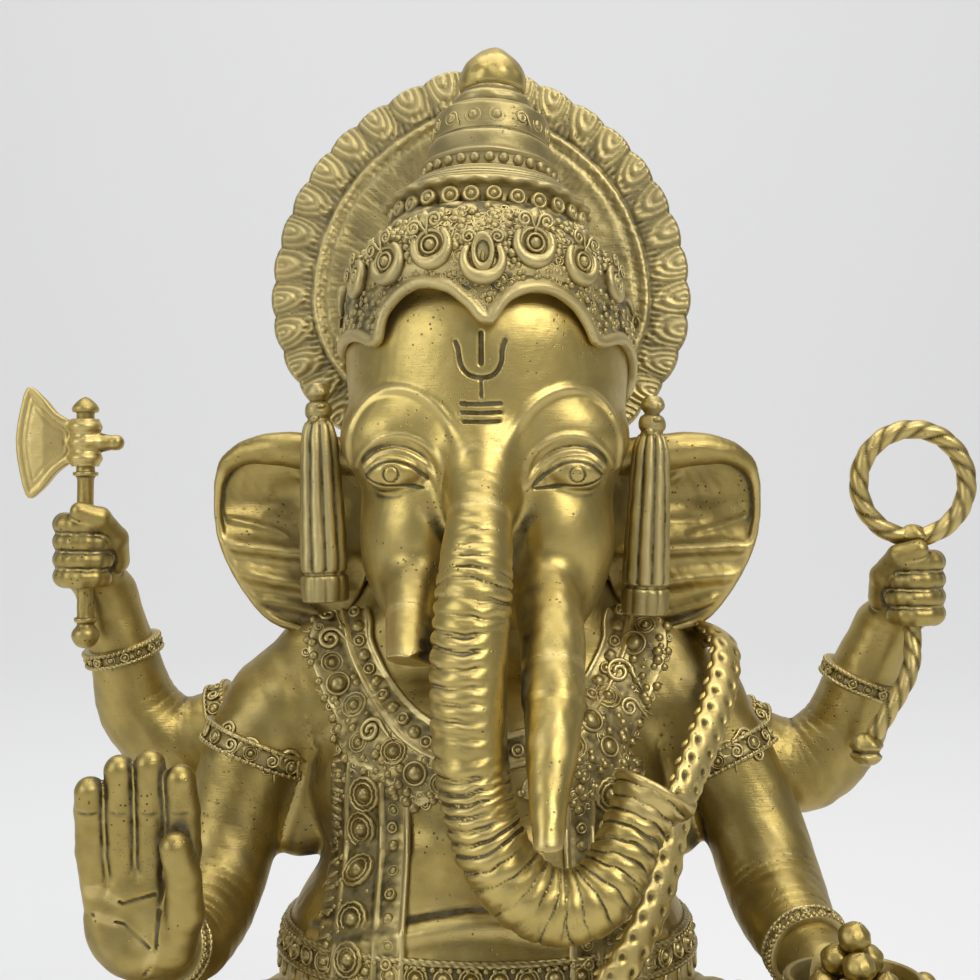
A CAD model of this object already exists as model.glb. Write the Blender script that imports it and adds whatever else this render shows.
import math
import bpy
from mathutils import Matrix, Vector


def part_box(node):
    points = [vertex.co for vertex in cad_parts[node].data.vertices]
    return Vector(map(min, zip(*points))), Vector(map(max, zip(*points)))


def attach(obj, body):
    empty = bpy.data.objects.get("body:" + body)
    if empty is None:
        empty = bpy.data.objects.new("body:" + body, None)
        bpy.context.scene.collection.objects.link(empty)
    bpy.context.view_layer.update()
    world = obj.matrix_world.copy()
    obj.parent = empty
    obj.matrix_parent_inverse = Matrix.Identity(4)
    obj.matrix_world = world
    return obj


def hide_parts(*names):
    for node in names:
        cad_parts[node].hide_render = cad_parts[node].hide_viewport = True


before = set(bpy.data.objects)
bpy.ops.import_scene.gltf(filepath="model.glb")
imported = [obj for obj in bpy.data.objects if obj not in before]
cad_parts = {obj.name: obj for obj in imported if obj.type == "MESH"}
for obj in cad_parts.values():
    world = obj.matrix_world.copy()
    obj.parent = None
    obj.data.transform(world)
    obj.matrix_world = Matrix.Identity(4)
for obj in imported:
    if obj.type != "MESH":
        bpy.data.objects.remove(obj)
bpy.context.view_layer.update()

from concurrent.futures import ThreadPoolExecutor
import bpy
import numpy as np

# A brass statue of a seated elephant-headed deity. Shapes are worked out in millimetres in the
# CAD's own frame (+Z up, the figure faces -Y) and become metres when a piece is made.
MM = 0.001
FINE = 1.0
rng = np.random.default_rng(11)


def box_mm(node):
    """A CAD node's lowest and highest corners, in millimetres."""
    lo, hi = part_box(node)
    return np.array(lo) / MM, np.array(hi) / MM


# ---------------------------------------------------------------- curves and small tools

def smooth(points, n=6):
    """A Catmull-Rom curve through control points, n steps to a span."""
    p = np.asarray(points, float)
    t = np.arange(n)[:, None] / n
    out = []
    for i in range(len(p) - 1):
        a, b, c, d = p[max(i - 1, 0)], p[i], p[i + 1], p[min(i + 2, len(p) - 1)]
        out.append(0.5 * (2 * b + (c - a) * t + (2 * a - 5 * b + 4 * c - d) * t ** 2
                          + (3 * b - a - 3 * c + d) * t ** 3))
    return np.vstack(out + [p[-1:]])


def unit(v):
    """Vectors of length 1."""
    v = np.asarray(v, float)
    return v / np.maximum(np.linalg.norm(v, axis=-1, keepdims=True), 1e-9)


def even(points, gap=None, count=None):
    """Points along a curve at equal steps."""
    p = np.asarray(points, float)
    s = np.concatenate([[0], np.cumsum(np.linalg.norm(np.diff(p[:, :3], axis=0), axis=1))])
    if count is None:
        count = max(int(round(s[-1] / gap)) + 1, 2)
    at = np.linspace(0, s[-1], count)
    return np.stack([np.interp(at, s, p[:, k]) for k in range(p.shape[1])], 1)


WAVES = unit(np.random.default_rng(5).normal(size=(24, 3)))
PHASES = np.random.default_rng(6).uniform(0, 6.28, 24)


def ripple(P, size, seed=0, waves=6):
    """Smooth waviness from -1 to 1, with features about size mm across."""
    out = np.zeros(len(P))
    for k in range(waves):
        j = (k * 5 + seed * 7) % 24
        out += np.sin(P @ (WAVES[j] * (6.283 / size) * (0.7 + 0.12 * k)) + PHASES[j])
    return out / waves * 1.4


# ---------------------------------------------------------------- signed distance fields

def smin(a, b, k):
    """Two solids as one, with a fillet about k wide where they meet."""
    h = np.maximum(k - np.abs(a - b), 0) / k
    return np.minimum(a, b) - h * h * k * 0.25


def smax(a, b, k):
    """What two solids share, with its edge rounded over about k."""
    return -smin(-a, -b, k)


def turned(P, centre, degrees_x=0.0, degrees_y=0.0, degrees_z=0.0):
    """Points as seen by a shape that sits at centre, turned about X, then Y, then Z."""
    q = P - np.asarray(centre, float)
    for axis, deg in ((2, degrees_z), (1, degrees_y), (0, degrees_x)):
        if deg:
            c, s = math.cos(math.radians(deg)), math.sin(math.radians(deg))
            i, j = (axis + 1) % 3, (axis + 2) % 3
            a, b = q[:, i] * c + q[:, j] * s, -q[:, i] * s + q[:, j] * c
            q = q.copy()
            q[:, i], q[:, j] = a, b
    return q


def egg(P, centre, radii, **turn):
    """An ellipsoid."""
    q = turned(P, centre, **turn)
    r = np.asarray(radii, float)
    k0 = np.linalg.norm(q / r, axis=1)
    return k0 * (k0 - 1) / np.maximum(np.linalg.norm(q / r ** 2, axis=1), 1e-6)


def rod(P, a, b, ra, rb=None):
    """A round-ended rod from a to b, tapering from radius ra to rb."""
    a, b = np.asarray(a, float), np.asarray(b, float)
    rb = ra if rb is None else rb
    t = np.clip((P - a) @ (b - a) / ((b - a) @ (b - a)), 0, 1)
    return np.linalg.norm(P - a - t[:, None] * (b - a), axis=1) - (ra + (rb - ra) * t)


class Route:
    """A path with a radius: stations are [x, y, z, r]."""

    def __init__(self, stations, n=5):
        st = smooth(stations, n)
        self.c, self.r = st[:, :3], st[:, 3]
        self.step = np.linalg.norm(np.diff(self.c, axis=0), axis=1)
        self.s = np.concatenate([[0], np.cumsum(self.step)])
        pad = self.r.max() + 6
        self.lo, self.hi = self.c.min(0) - pad, self.c.max(0) + pad

    def near(self, P):
        """For each point: its distance from the path, and how far along that is."""
        best, along = np.full(len(P), 1e12), np.zeros(len(P))
        for i in range(len(self.c) - 1):
            a, v = self.c[i], self.c[i + 1] - self.c[i]
            t = np.clip((P - a) @ v / (v @ v), 0, 1)
            q = P - a - t[:, None] * v
            d2 = np.einsum("ij,ij->i", q, q)
            m = d2 < best
            best[m] = d2[m]
            along[m] = self.s[i] + t[m] * self.step[i]
        return np.sqrt(best), along

    def field(self, P, relief=None):
        """Distance from the tube round the path; a plain bound where P is far away."""
        gap = np.linalg.norm(np.maximum(np.maximum(self.lo - P, P - self.hi), 0), axis=1)
        out = gap + 8.0
        m = gap < 4
        if m.any():
            d, s = self.near(P[m])
            r = np.interp(s, self.s, self.r)
            out[m] = d - r - (relief(P[m], s) if relief else 0)
        return out


def near_line(P, points, reach):
    """Which of P lie within reach of a polyline's box, and their distance from the line."""
    p = np.asarray(points, float)
    m = np.all((P > p.min(0) - reach) & (P < p.max(0) + reach), axis=1)
    q = P[m]
    best = np.full(len(q), 1e12)
    for a, b in zip(p[:-1], p[1:]):
        v = b - a
        t = np.clip((q - a) @ v / max(v @ v, 1e-9), 0, 1)
        e = q - a - t[:, None] * v
        best = np.minimum(best, np.einsum("ij,ij->i", e, e))
    return m, np.sqrt(best)


def cut_line(d, P, points, r, soft=0.25):
    """Cut a groove of radius r along points into the field d."""
    m, e = near_line(P, points, r + soft + 1.0)
    d[m] = smax(d[m], r - e, soft)
    return d


def add_line(d, P, points, r, soft=0.8):
    """Lay a ridge of radius r along points onto the field d."""
    m, e = near_line(P, points, r + soft + 1.5)
    d[m] = smin(d[m], e - r, soft)
    return d


# ---------------------------------------------------------------- from fields to meshes

POOL = ThreadPoolExecutor(4)
CHUNK = 24000        # points worked on at a time


def spread(field, P):
    """A field over many points, shared out between the processor's cores."""
    return np.concatenate(list(POOL.map(field, [P[i:i + CHUNK] for i in range(0, len(P), CHUNK)])))


CORNERS = np.array([(i, j, k) for i in (0, 1) for j in (0, 1) for k in (0, 1)])
EDGES = [(p, q) for p in range(8) for q in range(p + 1, 8)
         if np.abs(CORNERS[p] - CORNERS[q]).sum() == 1]
BLOCK = 8                     # cells along each side of a block
WEAR_REACH = (0.8, 2.4)       # how far out and in a surface is felt, to tell proud places from hollow


def doubled(V, axis):
    """The same samples with the mean of each two neighbours put between them."""
    V = np.moveaxis(V, axis, -1)
    out = np.empty(V.shape[:-1] + (2 * V.shape[-1] - 1,))
    out[..., ::2], out[..., 1::2] = V, (V[..., 1:] + V[..., :-1]) / 2
    return np.moveaxis(out, -1, axis)


def slope(field, P, eps):
    """A field's values at P and how fast it grows along each axis."""
    f0 = spread(field, P)
    g = np.stack([spread(field, P + eps * e) - f0 for e in np.eye(3)], 1) / eps
    return f0, g


def mesh_of(field, lo, hi, cell):
    """The zero surface of a field inside a box: vertices, quads and relief (0 hollow, 1 proud)."""
    h = cell * FINE
    lo = np.asarray(lo, float)
    blocks_each_way = np.ceil((np.asarray(hi, float) - lo) / (BLOCK * h)).astype(int)
    blocks = np.indices(blocks_each_way).reshape(3, -1).T
    near = np.abs(spread(field, lo + (blocks + 0.5) * BLOCK * h)) < BLOCK * h * 1.0 + 0.8
    blocks = blocks[near]
    local = np.indices((BLOCK + 1,) * 3).transpose(1, 2, 3, 0)

    def block_values(b):
        P = lo + ((b * BLOCK)[:, None, None, None, :] + local[None]) * h
        V = field(P[:, ::2, ::2, ::2].reshape(-1, 3)).reshape((-1,) + (BLOCK // 2 + 1,) * 3)
        for axis in (1, 2, 3):
            V = doubled(V, axis)
        close = np.abs(V) < 1.6 * h + 0.6
        V[close] = field(P[close])
        return V

    V = np.concatenate(list(POOL.map(block_values, np.array_split(blocks, len(blocks) // 96 + 1))))
    inside = V < 0
    count = sum(inside[:, i:i + BLOCK, j:j + BLOCK, k:k + BLOCK].astype(np.int8)
                for i, j, k in CORNERS)
    b, i, j, k = np.nonzero((count > 0) & (count < 8))
    cells = blocks[b] * BLOCK + np.stack([i, j, k], 1)
    corner = np.stack([V[b, i + x, j + y, k + z] for x, y, z in CORNERS], 1)
    pos, n = np.zeros((len(cells), 3)), np.zeros(len(cells))
    for p, q in EDGES:
        vp, vq = corner[:, p], corner[:, q]
        m = (vp < 0) != (vq < 0)
        t = np.where(m, vp / np.where(m, vp - vq, 1), 0)
        pos += m[:, None] * (CORNERS[p] + t[:, None] * (CORNERS[q] - CORNERS[p]))
        n += m
    verts = lo + (cells + pos / n[:, None]) * h
    dims = blocks_each_way * BLOCK + 2
    key = lambda c: (c[:, 0] * dims[1] + c[:, 1]) * dims[2] + c[:, 2]
    order = np.argsort(key(cells))
    ranked = key(cells)[order]

    def find(c):
        kk = key(c)
        at = np.clip(np.searchsorted(ranked, kk), 0, len(ranked) - 1)
        return np.where((ranked[at] == kk) & (c.min(1) >= 0), order[at], -1)

    quads = []
    for axis in range(3):
        e1, e2 = np.eye(3, dtype=int)[(axis + 1) % 3], np.eye(3, dtype=int)[(axis + 2) % 3]
        v0, v1 = corner[:, 0], corner[:, 4 >> axis]
        m = (v0 < 0) != (v1 < 0)
        c = cells[m]
        q = np.stack([find(c), find(c - e1), find(c - e1 - e2), find(c - e2)], 1)
        q = np.where((v0[m] < 0)[:, None], q, q[:, ::-1])
        quads.append(q[(q >= 0).all(1)])
    quads = np.vstack(quads)
    f0, g = slope(field, verts, 0.4 * h)
    verts = verts - np.clip(f0 / np.maximum((g * g).sum(1), 0.3), -h, h)[:, None] * g
    out = unit(g)
    bend = sum((spread(field, verts + out * d) + spread(field, verts - out * d)) / d for d in WEAR_REACH)
    return verts, [quads], np.clip(0.5 + 0.55 * bend, 0, 1)


# ---------------------------------------------------------------- meshes from rules

class Heap:
    """Gathers meshes into one: vertices, faces (arrays of 3 or 4 columns) and relief."""

    def __init__(self):
        self.v, self.f, self.r, self.n = [], [], [], 0

    def add(self, verts, faces, relief=0.5):
        self.v.append(np.asarray(verts, float))
        self.f += [np.asarray(f, int) + self.n for f in faces if len(f)]
        self.r.append(np.broadcast_to(np.asarray(relief, float), (len(verts),)))
        self.n += len(verts)

    def stamp(self, shape, points, normals, along, scale=1.0, sink=0.0, turn=None):
        """Copies of a shape: its z on each normal and its x along the way given."""
        v, f, r = shape
        points, nrm = np.asarray(points, float), unit(normals)
        x = np.broadcast_to(np.asarray(along, float), points.shape)
        x = unit(x - nrm * (x * nrm).sum(1, keepdims=True))
        y = np.cross(nrm, x)
        if turn is not None:
            c, s = np.cos(turn)[:, None], np.sin(turn)[:, None]
            x, y = x * c + y * s, y * c - x * s
        scale = np.broadcast_to(np.asarray(scale, float), (len(points),))
        for p, a, b, c, k in zip(points, x, y, nrm, scale):
            self.add(p - c * sink + (v * k) @ np.stack([a, b, c]), f, r)

    def parts(self):
        return np.vstack(self.v), self.f, np.concatenate(self.r)


def grid_faces(m, n, loop=False):
    """Quads over m rows of n points; loop joins each row's last point to its first."""
    i, j = np.meshgrid(np.arange(m - 1), np.arange(n if loop else n - 1), indexing="ij")
    i, j = i.ravel(), j.ravel()
    k = (j + 1) % n
    return np.stack([i * n + j, i * n + k, (i + 1) * n + k, (i + 1) * n + j], 1)


def capped(rings):
    """A closed skin over an array of rings (m, n, 3), each end closed on a middle point."""
    m, n, _ = rings.shape
    v = np.vstack([rings.reshape(-1, 3), rings[0].mean(0), rings[-1].mean(0)])
    j = np.arange(n)
    k = (j + 1) % n
    low = np.stack([np.full(n, m * n), k, j], 1)
    high = np.stack([np.full(n, m * n + 1), (m - 1) * n + j, (m - 1) * n + k], 1)
    return v, [grid_faces(m, n, True), low, high]


def lathe(profile, seg=24, relief=None, wave=None):
    """A turned shape from [radius, height] rows, bottom to top; wave adds to the radius."""
    p = np.asarray(profile, float)
    a = np.arange(seg) * 2 * math.pi / seg
    r = np.repeat(p[:, 0][:, None], seg, 1)
    if wave is not None:
        r = r + wave(a[None, :], p[:, 1][:, None])
    rings = np.stack([r * np.cos(a), r * np.sin(a), np.repeat(p[:, 1][:, None], seg, 1)], 2)
    v, f = capped(rings)
    level = np.linspace(0, 1, len(p)) if relief is None else np.asarray(relief, float)
    return v, f, np.concatenate([np.repeat(level, seg), level[:1], level[-1:]])


def frames_along(c, up):
    """Tangents and two square directions at each point of a path."""
    t = unit(np.gradient(np.asarray(c, float), axis=0))
    u = unit(np.cross(np.broadcast_to(np.asarray(up, float), t.shape), t))
    return t, u, np.cross(t, u)


def sweep(path, radius, sides=16, up=(0, 0, 1), flat=1.0, loop=False, relief=None):
    """A tube along a path; radius and relief take (distance along, angle) arrays."""
    c = np.asarray(path, float)[:, :3]
    t, u, w = frames_along(c, up)
    if loop:
        t = unit(np.roll(c, -1, 0) - np.roll(c, 1, 0))
        u = unit(np.cross(np.broadcast_to(np.asarray(up, float), t.shape), t))
        w = np.cross(t, u)
    s = np.concatenate([[0], np.cumsum(np.linalg.norm(np.diff(c, axis=0), axis=1))])
    a = np.arange(sides) * 2 * math.pi / sides
    S, A = np.meshgrid(s, a, indexing="ij")
    R = radius(S, A) if callable(radius) else np.broadcast_to(
        np.asarray(radius, float).reshape(-1, 1) * np.ones((1, sides)), S.shape)
    if not loop:
        end = np.clip(np.minimum(S, s[-1] - S) / np.maximum(R.max(1, keepdims=True), 1e-6), 0, 1)
        R = R * np.sqrt(np.clip(1 - (1 - end) ** 2, 0.02, 1))
    rings = c[:, None] + (R * np.cos(A))[..., None] * u[:, None] \
        + (flat * R * np.sin(A))[..., None] * w[:, None]
    level = relief(S, A) if relief else np.full(S.shape, 0.6)
    if loop:
        n = len(c)
        i, j = np.meshgrid(np.arange(n), np.arange(sides), indexing="ij")
        i, j = i.ravel(), j.ravel()
        k, i2 = (j + 1) % sides, (i + 1) % n
        return rings.reshape(-1, 3), [np.stack([i * sides + j, i * sides + k,
                                                i2 * sides + k, i2 * sides + j], 1)], level.ravel()
    v, f = capped(rings)
    return v, f, np.concatenate([level.ravel(), level[0, :1], level[-1, :1]])


def piece(name, mesh, material, nodes=(), sharp=None):
    """A Blender object from vertices in mm, riding on the root body and standing for CAD nodes."""
    verts, faces, relief = mesh
    me = bpy.data.meshes.new(name)
    me.vertices.add(len(verts))
    me.vertices.foreach_set("co", (np.asarray(verts) * MM).astype(np.float32).ravel())
    sizes = np.concatenate([np.full(len(f), f.shape[1]) for f in faces])
    me.loops.add(int(sizes.sum()))
    me.loops.foreach_set("vertex_index", np.concatenate([f.ravel() for f in faces]).astype(np.int32))
    me.polygons.add(len(sizes))
    me.polygons.foreach_set("loop_start",
                            np.concatenate([[0], np.cumsum(sizes)[:-1]]).astype(np.int32))
    me.update(calc_edges=True)
    me.validate()
    me.polygons.foreach_set("use_smooth", np.ones(len(me.polygons), bool))
    if sharp:
        me.set_sharp_from_angle(angle=math.radians(sharp))
    me.attributes.new("relief", "FLOAT", "POINT").data.foreach_set(
        "value", np.asarray(relief, np.float32))
    me.materials.append(material)
    obj = bpy.data.objects.new(name, me)
    bpy.context.scene.collection.objects.link(obj)
    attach(obj, "root")
    if nodes:
        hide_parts(*nodes)
    return obj


# ---------------------------------------------------------------- brass

def brass(name, bright, mid, dark, dust, rough=0.34, dusty=0.5, pits=0.5, grain=0.4, age=0.4):
    """Cast brass: bright where it is proud, brown between, dusty in hollows, pitted and filed."""
    mat = bpy.data.materials.new(name)
    mat.use_nodes = True
    nt = mat.node_tree
    nt.nodes.clear()
    new, link = nt.nodes.new, nt.links.new

    def node(kind, **values):
        n = new(kind)
        for key, value in values.items():
            n.inputs[key.replace("_", " ")].default_value = value
        return n

    def maths(op, a, b=None, clamp=False):
        n = new("ShaderNodeMath")
        n.operation, n.use_clamp = op, clamp
        for i, x in enumerate((a, b)):
            if x is None:
                continue
            if isinstance(x, (int, float)):
                n.inputs[i].default_value = x
            else:
                link(x, n.inputs[i])
        return n.outputs[0]

    def mix(fac, a, b):
        n = new("ShaderNodeMix")
        n.data_type = "RGBA"
        for i, x in ((0, fac), (6, a), (7, b)):
            if isinstance(x, (tuple, float, int)):
                n.inputs[i].default_value = x
            else:
                link(x, n.inputs[i])
        return n.outputs[2]

    def span(x, lo, hi):
        n = node("ShaderNodeMapRange", From_Min=lo, From_Max=hi)
        n.interpolation_type = "SMOOTHSTEP"
        link(x, n.inputs["Value"])
        return n.outputs["Result"]

    coords = new("ShaderNodeTexCoord").outputs["Object"]

    def noise(scale, detail=4.0, roughness=0.6):
        n = node("ShaderNodeTexNoise", Scale=scale, Detail=detail, Roughness=roughness)
        link(coords, n.inputs["Vector"])
        return n.outputs["Fac"]

    attribute = new("ShaderNodeAttribute")
    attribute.attribute_name = "relief"
    relief = attribute.outputs["Fac"]
    patches, blotch, speck = noise(45.0, 5.0), noise(160.0, 6.0, 0.7), noise(900.0, 3.0)
    height = maths("ADD", relief, maths("MULTIPLY", maths("SUBTRACT", blotch, 0.5), 0.35))
    proud = span(height, 0.42, 0.8)
    hollow = span(height, 0.46, 0.2)
    stain = maths("MULTIPLY", span(maths("ADD", maths("MULTIPLY", patches, 0.6),
                                         maths("MULTIPLY", blotch, 0.4)), 0.42, 0.64), age)
    colour = mix(stain, (*mid, 1), (*dark, 1))
    colour = mix(maths("MULTIPLY", proud, 0.75), colour, (*bright, 1))
    colour = mix(maths("MULTIPLY", hollow, 0.93), colour, (*dark, 1))
    dusting = maths("MULTIPLY", maths("MULTIPLY", span(height, 0.5, 0.3), dusty),
                    span(blotch, 0.38, 0.6), clamp=True)
    film = maths("MULTIPLY", span(patches, 0.5, 0.72), dusty * 0.35)
    dusting = maths("MAXIMUM", dusting, film)
    colour = mix(dusting, colour, (*dust, 1))

    cells = node("ShaderNodeTexVoronoi", Scale=520.0, Randomness=1.0)
    link(coords, cells.inputs["Vector"])
    pit = maths("MULTIPLY", span(cells.outputs["Distance"], 0.2, 0.1),
                span(noise(70.0, 2.0), 0.5, 0.62))
    fine = node("ShaderNodeTexVoronoi", Scale=1500.0, Randomness=1.0)
    link(coords, fine.inputs["Vector"])
    pit = maths("MAXIMUM", pit, maths("MULTIPLY", span(fine.outputs["Distance"], 0.22, 0.12),
                                      span(noise(55.0, 3.0), 0.52, 0.66)))
    pit = maths("MULTIPLY", pit, pits, clamp=True)
    colour = mix(maths("MULTIPLY", pit, 0.75), colour, (dark[0] * 0.4, dark[1] * 0.4, dark[2] * 0.4, 1))

    stretch = new("ShaderNodeMapping")
    stretch.inputs["Scale"].default_value = (1.0, 1.0, 9.0)
    stretch.inputs["Rotation"].default_value = (0.3, 0.5, 0.2)
    link(coords, stretch.inputs["Vector"])
    filed = node("ShaderNodeTexNoise", Scale=260.0, Detail=3.0)
    link(stretch.outputs["Vector"], filed.inputs["Vector"])

    shader = new("ShaderNodeBsdfPrincipled")
    link(colour, shader.inputs["Base Color"])
    r = maths("ADD", rough - 0.1, maths("MULTIPLY", blotch, 0.2))
    r = maths("ADD", r, maths("MULTIPLY", hollow, 0.18))
    r = maths("ADD", r, maths("MULTIPLY", dusting, 0.3), clamp=True)
    link(r, shader.inputs["Roughness"])
    link(maths("SUBTRACT", 1.0, maths("MULTIPLY", dusting, 0.55)), shader.inputs["Metallic"])
    level = maths("ADD", maths("MULTIPLY", speck, 0.25 * grain), maths("MULTIPLY", blotch, 0.5 * grain))
    level = maths("ADD", level, maths("MULTIPLY", filed.outputs["Fac"], 0.35 * grain))
    level = maths("SUBTRACT", level, maths("MULTIPLY", pit, 0.7))
    bump = node("ShaderNodeBump", Strength=0.5, Distance=0.0006)
    link(level, bump.inputs["Height"])
    link(bump.outputs["Normal"], shader.inputs["Normal"])
    link(shader.outputs["BSDF"], new("ShaderNodeOutputMaterial").inputs["Surface"])
    return mat


# Colours: rubbed high places, the middle tone, tarnish in the hollows, and dust
GOLD, TAN = (0.66, 0.52, 0.21), (0.41, 0.31, 0.098)
SHADE, DUST = (0.075, 0.055, 0.018), (0.3, 0.26, 0.15)
BODY = brass("aged_brass", GOLD, TAN, SHADE, DUST, rough=0.43, dusty=0.5, pits=1.0, grain=0.6)
FACE = brass("burnished_brass", GOLD, (0.54, 0.415, 0.135), SHADE, DUST, rough=0.4, dusty=0.45, pits=0.8,
             grain=0.35, age=0.3)
ORNAMENT = brass("ornament_brass", (0.72, 0.59, 0.28), (0.38, 0.3, 0.115), (0.055, 0.042, 0.014), DUST,
                 rough=0.42, dusty=0.4, pits=0.3, grain=0.5)
DUSTY = brass("dusty_brass", (0.66, 0.54, 0.25), (0.44, 0.355, 0.15), (0.07, 0.055, 0.02),
              (0.36, 0.31, 0.18), rough=0.48, dusty=0.55, pits=0.6, grain=0.8)
STEEL = brass("steel_fixings", (0.7, 0.7, 0.71), (0.5, 0.5, 0.52), (0.25, 0.25, 0.26), (0.3, 0.3, 0.29),
              rough=0.35, dusty=0.3, pits=0.2, grain=0.3, age=0.2)

# ---------------------------------------------------------------- the head and its trunk

# Stations [x, y, z, radius] repeat the CAD's own paths, with the visible swellings added
TRUNK = [[-1.7, -27, 262, 6], [-1.7, -32.5, 256, 7.2], [-1.8, -37, 249, 8], [-2.0, -43, 241, 8.7],
         [-2.7, -48.5, 232, 9.4], [-3.4, -53, 222, 9.9], [-4.3, -57, 210, 9.9], [-4.6, -60, 197, 9.8],
         [-4.2, -62.5, 184, 9.6], [-2.4, -64, 171.6, 9.3], [1.2, -65, 160, 9.3], [7.2, -66, 150.6, 9.4],
         [16.4, -66, 145.2, 9.5], [25.8, -65.5, 146.6, 9.1], [32.2, -64, 153, 8.5], [36, -61, 161, 8.0],
         [39.6, -58.5, 167.4, 8.5], [42, -57, 171.6, 10.4]]
TUSK = [[16, -26, 224, 9.5], [16.6, -36, 217, 9], [17.2, -45, 210, 8.6], [17.2, -53, 201, 8.3],
        [16.9, -60, 192, 7.9], [16, -68, 182, 6.6], [15.1, -75, 173, 5.2], [14.6, -81, 164, 4.1]]
STUB = [[-18, -20, 228, 9.5], [-19.5, -30, 222.5, 8.4], [-20.3, -38.5, 216, 7],
        [-20.4, -45.5, 208.6, 6.2], [-20.2, -51, 203, 5.9]]
trunk_route, tusk_route, stub_route = Route(TRUNK, 4), Route(TUSK, 4), Route(STUB, 4)

# Folds down the trunk: how many have passed by each place, and how deep they are there
FOLD_S = np.array([0, 12, 34, 50, 58, 96, 112, 150, 166, 200])
FOLD_N = np.array([0, 2, 8, 12.5, 14.5, 23.5, 29, 38, 42.5, 52])
FOLD_D = np.array([0, .02, .34, .58, .6, .56, .6, .62, .9, .8])


def trunk_relief(P, s):
    """Short wrinkles at the brow, thin lines down the front, ribs round the bend and tip."""
    axis = np.stack([np.interp(s, trunk_route.s, trunk_route.c[:, k]) for k in range(3)], 1)
    q = P - axis
    side = q[:, 0] / np.maximum(np.linalg.norm(q, axis=1), 1e-6)
    s2 = s + 1.0 * ripple(P, 19, 1) + 0.4 * ripple(P, 6, 2) + 1.5 * side ** 2
    count = np.interp(s2, FOLD_S, FOLD_N)
    pitch = 1 / np.interp(s2, FOLD_S[:-1], np.diff(FOLD_N) / np.diff(FOLD_S))
    phase = (count - np.round(count)) * pitch
    depth = np.interp(s, FOLD_S, FOLD_D) * (0.85 + 0.45 * ripple(P, 13, 3))
    top = np.clip((48 - s) / 14, 0, 1)
    plain = np.clip((s - 52) / 8, 0, 1) * np.clip((112 - s) / 10, 0, 1)
    shown = 1 - top * np.clip((np.abs(side) - 0.35) / 0.3, 0, 1)
    shown = np.clip(shown - plain * np.clip((side - 0.15) / 0.35, 0, 1), 0, 1)
    in_bend = np.clip((s - 88) / 8, 0, 1) * np.clip((125 - s) / 8, 0, 1)
    fan = 0.36 * np.cos(2 * math.pi * count * 1.3) * np.clip(side - 0.2, 0, 0.5) * in_bend
    narrow = 0.3 - 0.35 * np.cos(2 * math.pi * phase / pitch) - np.exp(-(phase / 0.8) ** 2)
    rounded = np.abs(np.sin(math.pi * count)) ** 0.8 - 0.7
    wide = np.clip((s - 106) / 12, 0, 1) + 0.55 * np.clip((60 - s) / 12, 0, 1)
    fold = narrow * (1 - wide) + rounded * wide
    minor = -np.exp(-(((count * 2.3 + 0.4 * ripple(P, 9, 4)) % 1 - 0.5) / 0.12) ** 2)
    patch = np.clip(ripple(P, 12, 7) - 0.1, 0, 1)
    lines = fold * depth * shown + minor * 0.16 * patch * (depth > 0.1)
    return lines + fan + 0.12 * ripple(P, 8, 11)


def skull(P):
    """The head without its fine lines: cranium, face, cheeks."""
    Q = np.column_stack([np.abs(P[:, 0]), P[:, 1], P[:, 2]])
    d = egg(P, (0, 1.5, 287), (41.5, 38.5, 38))
    d = smin(d, egg(P, (0, 0, 262), (39.2, 36.2, 34)), 10)
    d = smin(d, egg(P, (0, 6, 238), (35, 30, 34)), 8)
    d = smin(d, egg(Q, (18.6, -13.5, 236), (17.6, 21.5, 26)), 7)
    d = smin(d, egg(Q, (17.5, -18, 221), (11, 15, 16)), 6)
    return d


def face_mass(P):
    """The skull with the trunk's root, the brow domes and the eye hollows."""
    Q = np.column_stack([np.abs(P[:, 0] + 0.8), P[:, 1], P[:, 2]])
    d = skull(P)
    d = smin(d, egg(P, (-1.5, -25, 250), (8.6, 13.5, 22)), 6)
    d = smin(d, egg(Q, (24, -14, 264.5), (17, 18.2, 14), degrees_y=8), 6)
    d = smax(d, -egg(Q, (23.5, -40.2, 254.5), (12.8, 6.2, 6.0), degrees_y=8), 4.5)
    d = smax(d, -egg(Q, (11.4, -42.8, 243), (2.6, 7, 19)), 4)
    return smin(d, egg(Q, (24, -28.0, 254.2), (9.2, 7.2, 6.2)), 1.6)


def front_of(field, xz, start=-75.0, steps=40):
    """Walk in along +Y from in front until a field is met: the points, and outward directions."""
    p = np.column_stack([np.asarray(xz, float)[:, 0], np.full(len(xz), start), np.asarray(xz, float)[:, 1]])
    for _ in range(steps):
        p[:, 1] += np.clip(field(p), -3, 8) * 0.8
    return p, unit(slope(field, p, 0.3)[1])


def on_face(points, n=5, lift=0.0):
    """A smooth line of [x, z] points, laid on the face and lifted off it a little."""
    p, out = front_of(face_mass, smooth(points, n), -60)
    return p + out * lift


# Lines of the face as [x, z]: the brow arch from the root of the trunk outwards, the lid's
# folds, the opening of the eye and its lower rim. They are mirrored for the other eye.
MIRROR = np.array([-1, 1])
CENTRE = np.array([-0.8, 0])
BROW = [[4.6, 260], [7.8, 264.8], [12.2, 270.8], [17, 274.6], [22.4, 276.6], [28, 276.2],
        [32.8, 273.2], [36.4, 268], [38, 262], [37.6, 256]]
LID_FOLD = [[10.6, 252.2], [12.4, 257.4], [16.4, 261.6], [22.2, 263.8], [28, 263.2], [33, 259.6],
            [35.6, 255.6]]
LID = [[11.6, 250.2], [15, 254.8], [19.6, 258.4], [24.4, 259.6], [29, 258.6], [33, 255.2]]
EYE_TOP = [[12, 249.2], [16.4, 253.2], [20.6, 255.9], [25, 256.8], [29.2, 255.8], [32.8, 252.8]]
EYE_LOW = [[12, 249.2], [17, 249.8], [21.4, 250.2], [26, 250], [29.8, 250.8], [32.8, 252.8]]
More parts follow.
